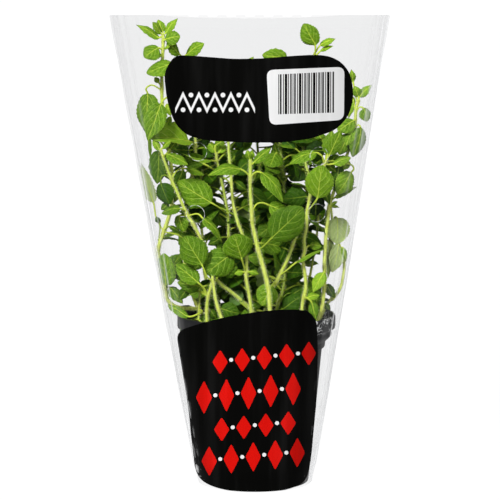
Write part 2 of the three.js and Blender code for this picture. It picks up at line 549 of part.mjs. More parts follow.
        via: [[50, 203.7, -27], [56, 204.2, -24], [60.6, 203, -22], [61.7, 200.5, -22]],
        base: [60.2, 198.6, -22], tip: [51.2, 184.4, -24], width: 12.5, face: RIGHT_FRONT },
      { at: [44.3, 206.5], base: [45, 209.5, -29], tip: [47.8, 225.5, -27], width: 9, face: FRONT },
      { at: [43.6, 205], base: [48.6, 203.9, -30], tip: [59.8, 208, -28], width: 8, face: UP_FRONT },
      { at: [30.8, 148.9], base: [33.5, 151.8, -19], tip: [41.5, 151.2, -19], width: 7,
        face: UP_FRONT },
      { at: [34, 183], base: [38, 184.5, -14], tip: [37.5, 170.5, -14], width: 11.5, face: FRONT },
      { at: [43, 203.5], base: [43.5, 212, -20], tip: [31, 212.5, -18], width: 13, face: FRONT },
      { at: [33.5, 181], base: [31.5, 183, -18], tip: [17, 181.5, -16], width: 14, face: FRONT },
      { at: [43.6, 205], base: [52, 202.5, -22], tip: [49.5, 186, -20], width: 8, face: FRONT },
      { at: [44, 205.5], base: [46, 203.5, -26], tip: [51.8, 209.8, -24], width: 7, face: UP_FRONT },
      { at: [34, 183], base: [42, 189.5, -20], tip: [46.8, 177.5, -18], width: 6, face: FRONT },
      { at: [43, 203.2], base: [44, 204.5, -24], tip: [50.5, 198.5, -22], width: 5.5, face: FRONT },
      { at: [42.6, 202.4], base: [41.6, 207.4, -18], tip: [36, 202.6, -16], width: 5.5, face: FRONT },
      { at: [44.3, 206], base: [43.5, 216.5, -12], tip: [37.5, 224.5, -12], width: 6.5, face: FRONT },
      { at: [44.3, 206], base: [58.8, 205, -20], tip: [54.2, 200, -20], width: 4.5, face: FRONT },
      { at: [30.4, 119], base: [32, 118.3, -23], tip: [40.3, 119.8, -22], width: 6, face: UP_FRONT },
      { at: [30.2, 117.5], via: [[33, 117.6, -24]], base: [35.2, 115.4, -25], tip: [38.2, 104, -27], width: 6.5,
        face: FRONT },
    ],
  },
  right_edge: {
    foot: [36.5, -16], thick: 2.6,
    line: [[39, 102.7, -16], [41.8, 112, -16], [43.3, 126, -16], [43.5, 135, -15],
      [43.3, 140.7, -14], [43.8, 150, -12], [44.4, 160, -10], [45.6, 170, -8], [46.2, 177.3, -7],
      [48.4, 184, -6], [52, 195, -6], [57, 208.5, -8], [60.2, 217.3, -9], [62, 222, -9],
      [62.5, 227.4, -9], [62.9, 238, -8], [64.7, 244.5, -8]],
    leaves: [
      { piece: 'drooping', at: [62.8, 236.5], via: [[65.4, 239.8, -9.3]], base: [67.5, 239, -10],
        tip: [70, 230.6, -11], width: 9, face: RIGHT_FRONT },
      { piece: 'pressed', at: [62.5, 227.4], via: [[64.4, 228.6, -9]], base: [65.8, 227, -10],
        tip: [60.8, 208.2, -14], width: 13, face: [0.6, -0.8, 0.1], arch: 2 },
      { piece: 'hanging', at: [43.5, 137.5], base: [43, 134.6, -20], tip: [36, 121.6, -24], width: 8.5,
        face: [0, -0.75, 0.65], age: -0.4 },
      { at: [62.4, 227], base: [61.3, 226, -12], tip: [56.7, 215.2, -16], width: 8, face: LEFT_FRONT },
      { at: [62.7, 231], base: [61.6, 231.4, -11], tip: [51.5, 224.4, -16], width: 11,
        face: [-0.3, -0.9, 0.2] },
      { at: [64.7, 244.5], base: [64.9, 246, -8], tip: [72.7, 253.8, -9], width: 6, face: [-0.2, -0.8, 0.5] },
      { at: [64.7, 244.5], base: [64.4, 246, -8], tip: [62, 253, -10], width: 6, face: FRONT },
      { at: [64.3, 243], base: [61, 255.5, -6], tip: [59.8, 263.5, -8], width: 4.5, face: FRONT },
      { at: [47, 179.5], base: [49.6, 182.3, -8], tip: [63.8, 189.4, -12], width: 6, face: [0, -0.6, 0.8] },
      { at: [46.2, 175], base: [47.6, 176.5, -8], tip: [53, 176, -9], width: 2.5, face: UP_FRONT },
      { at: [62, 222], base: [57.8, 222, -12], tip: [52.3, 209.5, -12], width: 9.5, face: FRONT },
      { at: [62.8, 236], base: [60, 247, -6], tip: [58.3, 232.5, -8], width: 6.5, face: FRONT },
      { at: [41.8, 112.3], base: [43.3, 114.4, -12], tip: [47.3, 110.2, -11], width: 4, face: FRONT },
      { at: [43.3, 125.5], base: [44.6, 126.5, -11], tip: [50, 118, -10], width: 6, face: FRONT },
    ],
  },
  right_arch: {
    foot: [38, 10], thick: 2.2,
    line: [[41, 106, 8], [45.6, 115.3, 3], [49.1, 118, 0], [52.6, 122.7, -2], [54.9, 127.9, -3],
      [55.8, 133, -4], [56, 137, -4], [55.7, 143, -4], [54.3, 147.2, -4], [52.5, 152.4, -3],
      [50.2, 159.4, -1], [48.5, 166.4, 1], [47.9, 171, 2], [47.3, 175.7, 3]],
    leaves: [
      { piece: 'pressed', at: [48.5, 167], via: [[49.8, 169.8, -1]], base: [51, 169.4, -4],
        tip: [51.6, 152.8, -4.5], width: 15.5,
        face: [-0.25, 0.95, -0.1], arch: -1 },
      { at: [53, 151.5], base: [52.2, 152, -8], tip: [48, 134.5, -10], width: 11,
        face: [-0.45, 0.9, -0.1], arch: -1 },
      { at: [49, 118.3], base: [47.5, 119.5, -3], tip: [47, 126, -5], width: 5, face: RIGHT_FRONT },
      { at: [47.3, 175.7], base: [47.5, 177, 4], tip: [51.5, 180, 4], width: 3, face: UP_FRONT },
      { at: [48.5, 166.4], base: [46.6, 167.5, 0], tip: [47.6, 152, -1], width: 5, face: FRONT },
      { at: [52.5, 152.4], base: [47.5, 155.5, -3], tip: [45.6, 130.5, -4], width: 7, face: [0, 1, 0] },
      { at: [53.6, 149.5], base: [54.8, 150.5, -8], tip: [57.2, 141, -8], width: 4, face: RIGHT_FRONT },
    ],
  },
  short_left: {
    foot: [-31, -20], thick: 2.4,
    line: [[-31.8, 108.7, -21], [-31.5, 114, -22], [-30.7, 119.5, -23], [-28.9, 126, -24],
      [-27, 134, -23.5], [-25.5, 141, -21]],
    leaves: [
      { piece: 'broad', at: [-30.7, 119.6], via: [[-33.4, 124.3, -25]], base: [-37, 127.7, -27],
        tip: [-51.6, 139.6, -26], width: 12, face: [0, -0.85, 0.5], fold: 0.15 },
      { at: [-30.7, 120.5], base: [-35.5, 125, -20], tip: [-50.5, 128.2, -20], width: 10, face: FRONT },
      { at: [-30.7, 119.6], base: [-36, 122.4, -18], tip: [-45.6, 118.2, -17], width: 6, face: UP },
      { at: [-30.7, 119.6], base: [-43.5, 125, -14], tip: [-49.5, 116.8, -14], width: 6.5, face: FRONT },
      { at: [-31.7, 110], base: [-29.7, 110.5, -19], tip: [-25.3, 104.5, -18], width: 4.5, face: FRONT },
    ],
  },
  cut_left: {
    foot: [-21.5, -28], thick: 2.5,
    line: [[-22.3, 104.4, -28], [-24.9, 112.5, -29], [-26.5, 119.5, -30], [-27.6, 127.5, -31],
      [-28.1, 132.2, -31]],
    leaves: [
      { piece: 'broad', at: [-27.8, 128.5], via: [[-31, 131, -32]], base: [-34.7, 139.2, -33],
        tip: [-46, 157.8, -34], width: 18, face: FRONT },
      { at: [-24.4, 111], base: [-22.5, 111, -27], tip: [-11, 108, -27], width: 11, face: FRONT },
      { at: [-27.6, 128.3], base: [-22.5, 134.5, -24], tip: [-12, 138, -22], width: 11, face: FRONT },
    ],
  },
  mid_back: {
    foot: [11, -2], thick: 2,
    line: [[12.9, 110.7, -5], [16.3, 121, -6], [18, 129.6, -5], [18.5, 150, 0], [17.5, 175, 6],
      [17, 193, 9], [15.5, 210, 11], [12, 235, 12], [10, 258, 10], [9, 267, 9]],
    leaves: [
      { at: [14.5, 115.5], base: [16, 117.6, -8], tip: [22.4, 121.8, -10], width: 5, face: UP },
      { at: [17.5, 176], base: [13, 180.5, 3], tip: [-5, 179.5, 1], width: 9, face: FRONT },
      { at: [9, 267], base: [18.5, 270.5, 5], tip: [3.5, 272.6, 3], width: 10.5, face: FRONT },
    ],
    pairs: [190, 262, 23, 18, 0.9],
  },
  right_inner: {
    foot: [33, 6], thick: 1.8,
    line: [[33.5, 115, 5], [34, 130.4, 5], [35.3, 138.6, 5], [36.4, 145, 4], [38.4, 158, 3],
      [39.2, 168, 4], [40, 176, 4]],
    leaves: [
      { at: [34, 128], base: [33.3, 131, 0], tip: [38.6, 123, -2], width: 6, face: FRONT },
    ],
    pairs: [150, 165, 22, 11, 1.57],
  },
  left_inner: {
    foot: [-22, 12], thick: 1.9,
    line: [[-24, 115, 12], [-30, 135, 9], [-33.6, 154, 4], [-35, 163, 2], [-36, 178, 2],
      [-35.4, 192, 3], [-34.5, 200, 3]],
    leaves: [
      { at: [-36, 178], base: [-43, 181, -12], tip: [-30.5, 173, -12], width: 12.5, face: FRONT },
      { at: [-30.5, 137], base: [-34, 141.5, 4], tip: [-40.5, 136, 3], width: 5, face: FRONT },
    ],
    pairs: [150, 205, 22, 15, 1.4],
  },
  left_low: {
    foot: [-37, -8], thick: 1.6,
    line: [[-36.6, 112, -9], [-36.2, 122.6, -10], [-37, 131, -10]],
    leaves: [
      { piece: 'outward', at: [-36.6, 112], via: [[-34.6, 109.4, -13], [-37.6, 107.6, -16]],
        base: [-43, 106, -18], tip: [-59.4, 114.3, -14], width: 6, face: UP_FRONT },
      { at: [-37, 131], base: [-37.5, 132, -10], tip: [-42, 137, -12], width: 5, face: UP_FRONT },
    ],
  },
  back_middle: {
    foot: [15, 20], thick: 2.1,
    line: [[16, 130, 23], [17, 170, 23], [17.4, 193, 21], [16.8, 201, 20]],
    leaves: [
      { at: [16.8, 200], base: [16, 201, 17], tip: [11, 217, 13], width: 10, face: FRONT },
      { at: [17, 199], base: [15.5, 198.7, 16], tip: [3, 210.5, 12], width: 12, face: UP_FRONT },
      { at: [16.8, 201], base: [17.5, 202, 20], tip: [20.5, 217, 18], width: 8, face: FRONT },
    ],
    pairs: [140, 195, 26, 17, 0.5],
  },
  rear_left: {
    foot: [-14, 30], thick: 2.2,
    line: [[-16, 140, 34], [-20, 180, 38], [-24, 214, 40]],
    leaves: [],
    pairs: [130, 222, 23, 19, 0.1],
  },
  rear: {
    foot: [8, 38], thick: 2.2,
    line: [[7, 150, 42], [3, 190, 46], [0, 222, 47]],
    leaves: [],
    pairs: [135, 232, 24, 19, 1.2],
  },
  rear_right: {
    foot: [25, 24], thick: 2.2,
    line: [[26, 140, 30], [31, 180, 34], [37, 222, 32]],
    leaves: [],
    pairs: [130, 232, 25, 18, 0.8],
  },
  rear_far_left: {
    foot: [-29, 26], thick: 2.1,
    line: [[-34, 140, 30], [-42, 180, 34], [-50, 214, 30]],
    leaves: [],
    pairs: [130, 222, 22, 18, 1.8],
  },
};

// A number from 0 to 1 that looks random and is the same each time.
function vary(k) {
  const raw = Math.sin(k * 12.9898) * 43758.5453;
  return raw - Math.floor(raw);
}

// Opposite leaves up a bare stretch of stem, each pair a quarter turn from the one below.
function pairedLeaves(shoot, line) {
  if (!shoot.pairs) return [];
  const [lowest, highest, spacing, size, turn] = shoot.pairs;
  const leaves = [];
  for (let z = lowest, k = 0; z <= highest; z += spacing, k += 1) {
    const point = line.reduce((near, p) => (Math.abs(p.z - z) < Math.abs(near.z - z) ? p : near));
    for (const side of [0, 1]) {
      const chance = vary(lowest + turn * 10 + 2 * k + side);
      const angle = turn + (k / 2 + side) * Math.PI + 0.5 * (chance - 0.5);
      const out = new THREE.Vector3(Math.cos(angle), Math.sin(angle), 0);
      const long = size * (0.75 + 0.5 * chance) * (1 - 0.35 * (z - lowest) / (highest - lowest + 1));
      const base = point.clone().addScaledVector(out, 0.4 * long);
      base.z += 0.3 * long;
      const tip = base.clone().addScaledVector(out, 0.95 * long);
      tip.z += (0.35 - 0.6 * chance) * long;
      const face = [0.25 * out.x, 0.25 * out.y, 1];
      leaves.push({
        at: drawn(point), base: [...drawn(base), base.y], tip: [...drawn(tip), tip.y],
        width: 0.66 * long, face, arch: 0.12 * long,
      });
    }
  }
  return leaves;
}

// ---------------------------------------------------------------- assembly

const finishes = {
  pot: new THREE.MeshStandardMaterial({ color: 0x1c1c1e, roughness: 0.5 }),
  mix: new THREE.MeshStandardMaterial({ color: 0x2a2018, roughness: 1 }),
  film: new THREE.MeshStandardMaterial({
    color: 0xf2f4f6, roughness: 0.1, transparent: true, opacity: 0.25,
  }),
  stem: new THREE.MeshStandardMaterial({ color: 0xb4c83a, roughness: 0.6 }),
  leaf: new THREE.MeshStandardMaterial({ color: 0x4f8a1c, roughness: 0.55 }),
};

const plant = new THREE.Group();
const pieces = [];

function addPiece(name, solid, material) {
  const mesh = new THREE.Mesh(geometryOf(solid), material);
  mesh.name = name;
  plant.add(mesh);
  pieces.push({ name, solid });
}

function clearOf(solid, others) {
  const box = solid.boundingBox();
  return others.every(({ solid: other }) => {
    const { min, max } = other.boundingBox();
    const apart = [0, 1, 2].some((i) => box.min[i] > max[i] + GAP || box.max[i] < min[i] - GAP);
    return apart || solid.minGap(other, 2 * GAP) > GAP * 0.9;
  });
}

addPiece('pot', potSolid(), finishes.pot);
addPiece('potting_mix', pottingMixSolid(), finishes.mix);
addPiece('film_sleeve', sleeveSolid(), finishes.film);

// Stems and the leaves that are pieces of their own come first, then each stem takes up
// the smaller leaves that stay clear of everything else.
const grown = Object.entries(SHOOTS).map(([name, shoot]) => {
  const line = stemLine(shoot);
  return { name, shoot, line, solid: stemSolid(shoot, line) };
});
const ownLeaves = grown.flatMap(({ name, shoot, line }) => (
  shoot.leaves.filter((leaf) => leaf.piece).map((leaf) => {
    const node = nodeOn(shoot, line, leaf.at);
    return { name: `${name}_leaf_${leaf.piece}`, solid: leafSolid(leaf, node) };
  })
));

for (const stem of grown) {
  const others = [...pieces, ...ownLeaves, ...grown.filter((other) => other !== stem)];
  const small = [...stem.shoot.leaves.filter((leaf) => !leaf.piece), ...pairedLeaves(stem.shoot, stem.line)];
  for (const leaf of small) {
    const solid = leafSolid(leaf, nodeOn(stem.shoot, stem.line, leaf.at));
    const joined = stem.solid.add(solid);
    if (clearOf(solid, others) && joined.decompose().length === 1) stem.solid = joined;
  }
}

for (const { name, solid } of grown) addPiece(`${name}_stem`, solid, finishes.stem);
for (const { name, solid } of ownLeaves) addPiece(name, solid, finishes.leaf);

export default plant;
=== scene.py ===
# %% [markdown]
# # An oregano plant in its nursery pot and film sleeve
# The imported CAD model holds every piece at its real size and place. This lesson loads it as a fixed
# frame, then gives each piece the shape and surface of the real thing: moulded plastic, loose potting
# mix, clear film with its print, hairy stems and quilted leaves.

# %% Load the frame
import math
import random
from collections import namedtuple

import bmesh
import bpy
import numpy as np
from mathutils.geometry import delaunay_2d_cdt
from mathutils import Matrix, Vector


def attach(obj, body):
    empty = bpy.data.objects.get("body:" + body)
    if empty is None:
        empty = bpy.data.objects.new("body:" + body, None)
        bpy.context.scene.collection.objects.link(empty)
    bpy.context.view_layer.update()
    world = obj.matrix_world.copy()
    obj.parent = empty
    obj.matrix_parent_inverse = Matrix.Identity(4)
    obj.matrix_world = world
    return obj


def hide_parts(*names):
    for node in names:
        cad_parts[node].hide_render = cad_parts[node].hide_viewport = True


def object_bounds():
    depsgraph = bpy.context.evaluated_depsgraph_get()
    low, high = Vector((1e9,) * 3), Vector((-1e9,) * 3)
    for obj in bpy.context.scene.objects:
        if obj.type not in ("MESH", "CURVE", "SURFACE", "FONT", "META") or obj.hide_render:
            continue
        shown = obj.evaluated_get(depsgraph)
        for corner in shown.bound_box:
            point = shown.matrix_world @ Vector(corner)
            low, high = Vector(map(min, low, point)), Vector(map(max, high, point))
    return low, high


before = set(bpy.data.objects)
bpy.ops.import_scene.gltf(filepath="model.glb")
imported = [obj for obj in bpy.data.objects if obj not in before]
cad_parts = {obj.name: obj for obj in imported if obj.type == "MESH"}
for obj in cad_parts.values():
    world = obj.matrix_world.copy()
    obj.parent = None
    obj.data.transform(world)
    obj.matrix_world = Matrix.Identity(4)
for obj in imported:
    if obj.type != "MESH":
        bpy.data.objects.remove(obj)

CAD_BOX = [list(corner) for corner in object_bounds()]
MM = 0.001          # the tables below are in millimetres, and Blender's objects in metres
SCENE = bpy.context.scene
print("CAD nodes:", len(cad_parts), "box in mm:", [[round(v / MM) for v in c] for c in CAD_BOX])

# %% [markdown]
# ## Camera
# A long lens from over a metre away keeps the sleeve's edges straight and nearly parallel. The camera
# stands level with the sleeve's mouth and looks down a little, so the front edge of the mouth hides
# most of the back one. The shoots are drawn from the same eye further down.

# %% Camera
VIEW_DISTANCE, VIEW_X, VIEW_HEIGHT = 1300, -4.1, 297
LOOKS_DOWN = 6.5            # degrees
SENSOR, LENS, SEES_AS_FAR_AS = 36, 147.9, 50


def put_in_scene(name, data):
    made = bpy.data.objects.new(name, data)
    SCENE.collection.objects.link(made)
    return made


camera = put_in_scene("camera", bpy.data.cameras.new("camera"))
camera.data.sensor_width, camera.data.lens, camera.data.clip_end = SENSOR, LENS, SEES_AS_FAR_AS
camera.location = (VIEW_X * MM, -VIEW_DISTANCE * MM, VIEW_HEIGHT * MM)
camera.rotation_euler = (math.radians(90 - LOOKS_DOWN), 0, 0)
SCENE.camera = camera
print("camera at", [round(v, 3) for v in camera.location], "lens", camera.data.lens)

# %% [markdown]
# ## Shader and geometry maths in Python
# A node tree is easier to read as an expression. `Sock` wraps one output socket, and Python's
# operators on it add Math nodes. `Nodes` wraps a tree, and its `add` makes any other node from a
# type, its settings, and the values or links of its sockets. Both work in shader and geometry trees.

# %% Sock and Nodes
class Sock:
    def __init__(self, nodes, socket):
        self.nodes, self.socket = nodes, socket

    def math(self, operation, *others):
        values = dict(enumerate((self, *others)))
        return self.nodes.add("ShaderNodeMath", {"operation": operation}, values)

    def __add__(self, other): return self.math("ADD", other)
    def __sub__(self, other): return self.math("SUBTRACT", other)
    def __rsub__(self, other): return self.nodes.number(other).math("SUBTRACT", self)
    def __mul__(self, other): return self.math("MULTIPLY", other)
    def __pow__(self, other): return self.math("POWER", other)
    def __abs__(self): return self.math("ABSOLUTE")
    __radd__, __rmul__ = __add__, __mul__

    def smooth(self, low, high):
        """0 below low and 1 above high, or the other way round when low is the larger."""
        settings = {"interpolation_type": "SMOOTHSTEP"}
        sockets = {"Value": self, "From Min": low, "From Max": high}
        return self.nodes.add("ShaderNodeMapRange", settings, sockets)


class Nodes:
    def __init__(self, tree):
        self.tree = tree

    def add(self, kind, settings, sockets, out=0):
        made = self.tree.nodes.new(kind)
        for name, setting in settings.items():
            if name == "stops":
                self.set_ramp(made.color_ramp, setting)
            else:
                setattr(made, name, setting)
        for key, value in sockets.items():
            self.plug(value, self.slot(made.inputs, key))
        return Sock(self, self.slot(made.outputs, out)) if made.outputs else None

    def slot(self, sockets, key):
        if isinstance(key, int):
            return sockets[key]
        return next(s for s in sockets if s.enabled and key in (s.identifier, s.name))

    def plug(self, value, slot):
        if isinstance(value, Sock):
            self.tree.links.new(value.socket, slot)
        elif isinstance(value, tuple) and slot.type == "RGBA":
            slot.default_value = (*value, 1)
        else:
            slot.default_value = value

    def set_ramp(self, ramp, stops):
        while len(ramp.elements) < len(stops):
            ramp.elements.new(0.5)
        for element, (place, colour) in zip(ramp.elements, stops):
            element.position, element.color = place, (*colour, 1)

    def number(self, value):
        made = self.add("ShaderNodeValue", {}, {})
        made.socket.default_value = value
        return made

    def mix(self, share, first, second):
        sockets = {"Factor_Float": share, "A_Color": first, "B_Color": second}
        return self.add("ShaderNodeMix", {"data_type": "RGBA"}, sockets, "Result_Color")

    def noise(self, place, scale, detail=2.0):
        return self.add("ShaderNodeTexNoise", {}, {"Vector": place, "Scale": scale, "Detail": detail})

    def long_noise(self, detail, **sockets):
        """Noise over a place put together from stretched coordinates."""
        return self.noise(self.add("ShaderNodeCombineXYZ", {}, sockets), 1.0, detail)

    def split(self, vector):
        made = self.add("ShaderNodeSeparateXYZ", {}, {"Vector": vector})
        return [Sock(self, made.socket.node.outputs[i]) for i in range(3)]

    def object_place(self):
        return self.add("ShaderNodeTexCoord", {}, {}, "Object")

    def uv(self, name):
        return self.split(self.add("ShaderNodeUVMap", {"uv_map": name}, {}))[:2]

    def attribute(self, name):
        return self.split(self.add("ShaderNodeAttribute", {"attribute_name": name}, {}, "Vector"))


print("node maths ready")

# %% Materials from expressions
def new_material(name):
    material = bpy.data.materials.new(name)
    material.use_nodes = True
    material.node_tree.nodes.clear()
    return material, Nodes(material.node_tree)


def set_surface(nodes, shader):
    nodes.add("ShaderNodeOutputMaterial", {}, {"Surface": shader})


def bump(nodes, height, depth_mm, strength=1.0):
    sockets = {"Height": height, "Distance": depth_mm * MM, "Strength": strength}
    return nodes.add("ShaderNodeBump", {}, sockets)


def principled(nodes, sockets):
    return nodes.add("ShaderNodeBsdfPrincipled", {}, sockets)


print("material tools ready")

# %% [markdown]
# ## Floor and light
# A small product like this is shot on a white sweep under broad soft lights. The floor is plain and
# pale, and two suns with a wide angle give even light with soft shadows at any distance, which an area
# lamp can't. The sky is white to the eye but lights the plant with less, so gaps between leaves go dark,
# and it is dimmer still in reflections, so that black plastic stays black.

# %% Floor and light
SKY_SEEN, SKY_LIGHT, SKY_GLOSS = 1.04, 0.11, 0.07      # as seen, as it lights, and in reflections
FLOOR_SEEN, FLOOR_LIGHT = 1.0, 0.16
FLOOR_SIZE, FLOOR_MIDDLE, FLOOR_DROP = 400, 100, 0.0002

floor_material, nodes = new_material("pale_floor")
seen = nodes.add("ShaderNodeLightPath", {}, {}, "Is Camera Ray")
set_surface(nodes, principled(nodes, {
    "Base Color": (0.035, 0.035, 0.035), "Roughness": 0.9, "Specular IOR Level": 0.0,
    "Emission Color": (1.0, 1.0, 1.0), "Emission Strength": seen * (FLOOR_SEEN - FLOOR_LIGHT) + FLOOR_LIGHT}))
bpy.ops.mesh.primitive_plane_add(size=FLOOR_SIZE, location=(0, FLOOR_MIDDLE, -FLOOR_DROP))
floor = bpy.context.object
floor.name = "floor"
floor.data.materials.append(floor_material)

SCENE.world = bpy.data.worlds.new("soft_white")
SCENE.world.use_nodes = True
SCENE.world.node_tree.nodes.clear()
nodes = Nodes(SCENE.world.node_tree)
seen = nodes.add("ShaderNodeLightPath", {}, {}, "Is Camera Ray")
glossy = nodes.add("ShaderNodeLightPath", {}, {}, "Is Glossy Ray")
strength = seen * (SKY_SEEN - SKY_LIGHT) + glossy * (SKY_GLOSS - SKY_LIGHT) + SKY_LIGHT
sky = nodes.add("ShaderNodeBackground", {}, {"Color": (1.0, 1.0, 1.0), "Strength": strength})
nodes.add("ShaderNodeOutputWorld", {}, {"Surface": sky})


def add_sun(name, strength, softness, tilt, turn):
    """A sun of this strength, with its angles in degrees."""
    sun = bpy.data.lights.new(name, "SUN")
    sun.energy, sun.angle = strength, math.radians(softness)
    put_in_scene(name, sun).rotation_euler = (math.radians(tilt), 0, math.radians(turn))


add_sun("key_light", 4.4, 16, 56, -26)
add_sun("fill_light", 1.3, 40, 72, 22)
SCENE.view_settings.view_transform = "Standard"
print("lights:", [o.name for o in SCENE.objects if o.type == "LIGHT"])

# %% [markdown]
# ## Small mesh tools
# Most pieces here are skins over rows of rings: a pot, a sleeve or a leaf. One function turns rings
# into a closed mesh with its faces outwards, and another hands a finished piece to the frame.

# %% Rings to meshes
def add_mesh(name, points, faces, *materials):
    """A piece from points in millimetres."""
    mesh = bpy.data.meshes.new(name)
    mesh.from_pydata((np.asarray(points, float) * MM).tolist(), [], faces)
    for material in materials:
        mesh.materials.append(material)
    mesh.shade_smooth()
    return put_in_scene(name, mesh)


def face_outwards(mesh):
    work = bmesh.new()
    work.from_mesh(mesh)
    bmesh.ops.recalc_face_normals(work, faces=work.faces)
    work.to_mesh(mesh)
    work.free()


def tube_faces(rows, size, first=0, closed=False):
    """Squares between rows of rings, with a cap at each end or a join from the last to the first."""
    at = lambda row, i: first + (row % rows) * size + i % size
    faces = [(at(r, i), at(r, i + 1), at(r + 1, i + 1), at(r + 1, i))
             for r in range(rows if closed else rows - 1) for i in range(size)]
    if not closed:
        faces += [tuple(at(0, i) for i in reversed(range(size))), tuple(at(rows - 1, i) for i in range(size))]
    return faces


def round_angles(count):
    return np.linspace(0, 2 * math.pi, count, endpoint=False)


def lathe(name, profile, segments, material):
    """A closed solid of turning from a closed profile of (radius, height), clear of the axis."""
    points = [(r * math.cos(a), r * math.sin(a), z) for a in round_angles(segments) for r, z in profile]
    piece = add_mesh(name, points, tube_faces(segments, len(profile), closed=True), material)
    face_outwards(piece.data)
    return piece


print("ring tools ready")

# %% Baking, cutting and handing over
def baked(piece, name=None):
    """The piece as a plain mesh, with what its modifiers did."""
    evaluated = piece.evaluated_get(bpy.context.evaluated_depsgraph_get())
    mesh = bpy.data.meshes.new_from_object(evaluated)
    name = name or piece.name
    data = piece.data
    bpy.data.objects.remove(piece)
    if data.users == 0:
        (bpy.data.curves if isinstance(data, bpy.types.Curve) else bpy.data.meshes).remove(data)
    mesh.name = name
    return put_in_scene(name, mesh)


def hand_over(piece, slot, *nodes_replaced):
    """Gives a finished piece to the frame, in place of the CAD nodes that it replaces."""
    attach(piece, "root")
    if nodes_replaced:
        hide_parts(*nodes_replaced)
    return piece


def cut_away(piece, cutters):
    """Boolean cuts, then the cutters are removed."""
    for cutter in cutters:
        cut = piece.modifiers.new("cut", "BOOLEAN")
        cut.operation, cut.solver, cut.object = "DIFFERENCE", "EXACT", cutter
    piece = baked(piece)
    for cutter in cutters:
        bpy.data.objects.remove(cutter)
    return piece


print("mesh tools ready")

# %% [markdown]
# ## The nursery pot
# The real pot is thin injection-moulded black plastic: satin, with a stepped rim that stiffens it and
# lets pots stack. A turned profile with small rounded corners catches the light as the moulded edges
# do, and the drain holes are cut out of it afterwards.

# %% Pot finish
POT_GLINT_HEIGHT, POT_GLINT_SIDE = (0.097, 0.1), (0.028, 0.036)     # where white glints are painted near the rim, in metres as in the shader

pot_material, nodes = new_material("pot_plastic")
place = nodes.object_place()
scuff = nodes.noise(place, 55, 4)
side, _, up = nodes.split(place)
# Thin white squiggles near the rim on one side are painted glints, mixed into the black plastic.
glint_patches = nodes.noise(place, 90, 1).smooth(0.42, 0.5) * up.smooth(*POT_GLINT_HEIGHT) * side.smooth(*POT_GLINT_SIDE)
black = nodes.mix(scuff, (0.005, 0.005, 0.006), (0.014, 0.014, 0.015))
pot_glints = abs(nodes.noise(place, 330, 2) - 0.5).smooth(0.055, 0.03) * glint_patches
grain = nodes.noise(place, 2600, 1)
set_surface(nodes, principled(nodes, {
    "Base Color": nodes.mix(pot_glints, black, (0.9, 0.91, 0.9)), "Roughness": scuff.smooth(0.3, 0.75) * 0.22 + 0.3,
    "Normal": bump(nodes, grain * 0.3 + scuff, 0.12)}))
print("finish:", pot_material.name)

# %% Pot
POT_SEGMENTS = 160
DRAIN_COUNT, DRAIN_CIRCLE, DRAIN_RADIUS = 6, 23, 3.5
POT_OUTSIDE = [(1, 0.9), (30, 0.9), (31, 0), (32.6, 0), (33.3, 0.3), (33.6, 1), (41.9, 86.2), (42.3, 86.8),
               (43.4, 87.3), (43.8, 88), (44.1, 90.9), (44.5, 91.5), (46.8, 93.6), (48, 95), (48.2, 95.8),
               (48, 96.6), (47.3, 98.4), (47.5, 99), (49.9, 99.4), (50.3, 99.8), (50.5, 100.4), (50.5, 107),
               (50.3, 107.6), (49.9, 108)]
POT_INSIDE = [(49.3, 108), (49, 107.6), (48.9, 100.6), (46.4, 98.2), (46.2, 95.2), (43.2, 92.2), (42.7, 91.2),
              (42.7, 88.6), (40.9, 87.2), (32.4, 2.6), (31.6, 2.1), (1, 2.1)]
pot = lathe("nursery_pot", POT_OUTSIDE + POT_INSIDE, POT_SEGMENTS, pot_material)
drills = []
for k in range(DRAIN_COUNT):
    angle = (k + 0.5) * 2 * math.pi / DRAIN_COUNT
    place = (DRAIN_CIRCLE * MM * math.cos(angle), DRAIN_CIRCLE * MM * math.sin(angle), 0)
    bpy.ops.mesh.primitive_cylinder_add(radius=DRAIN_RADIUS * MM, depth=10 * MM, location=place, vertices=32)
    drills.append(bpy.context.object)
pot = hand_over(cut_away(pot, drills), "pot", "pot")
print("pot:", len(pot.data.polygons), "faces")

# %% [markdown]
# ## Potting mix
# Potting mix is dark crumbs of bark and peat. The bed is a solid with a lumpy top, and Geometry Nodes
# scatter crumbs over it: points on the faces that look up, a low round lump at each, turned and
# stretched at random, then realised so that the export keeps them.

# %% Potting mix finish
mix_material, nodes = new_material("bark_and_peat")
place = nodes.object_place()
patches = nodes.noise(place, 260, 5)
mix_colour = nodes.add("ShaderNodeValToRGB", {"stops": [
    (0.3, (0.010, 0.007, 0.005)), (0.52, (0.026, 0.017, 0.011)), (0.72, (0.085, 0.052, 0.03))]},
    {"Fac": patches})
set_surface(nodes, principled(nodes, {
    "Base Color": mix_colour, "Roughness": 0.92, "Normal": bump(nodes, patches, 0.6)}))
print("finish:", mix_material.name)

# %% Bed
SOIL_HEIGHT, BED_SEGMENTS = 97, 96
BED_WALL = [(32, 2.5), (40.5, 86.9), (42.4, 89)]            # radius and height up the pot's inside
BED_TOP = (42.4, 41.5, 38, 34, 30, 26, 22, 18, 14, 10, 6, 2)
EDGE_DIP = 1.6              # how far the mix has sunk at the pot's wall


def bed_height(x, y):
    dip = EDGE_DIP if math.hypot(x, y) > 42 else 0
    return SOIL_HEIGHT + 0.5 * math.sin(x / 6.1 + 1) + 0.5 * math.sin(y / 7.3 + x / 19) - 0.9 - dip


circle = [(math.cos(a), math.sin(a)) for a in round_angles(BED_SEGMENTS)]
rings = [[(r * c, r * s, z) for c, s in circle] for r, z in BED_WALL]
rings += [[(r * c, r * s, bed_height(r * c, r * s)) for c, s in circle] for r in BED_TOP]
bed = add_mesh("potting_mix_bed", [p for ring in rings for p in ring], tube_faces(len(rings), BED_SEGMENTS),
               mix_material)
face_outwards(bed.data)
print("bed:", len(bed.data.polygons), "faces")

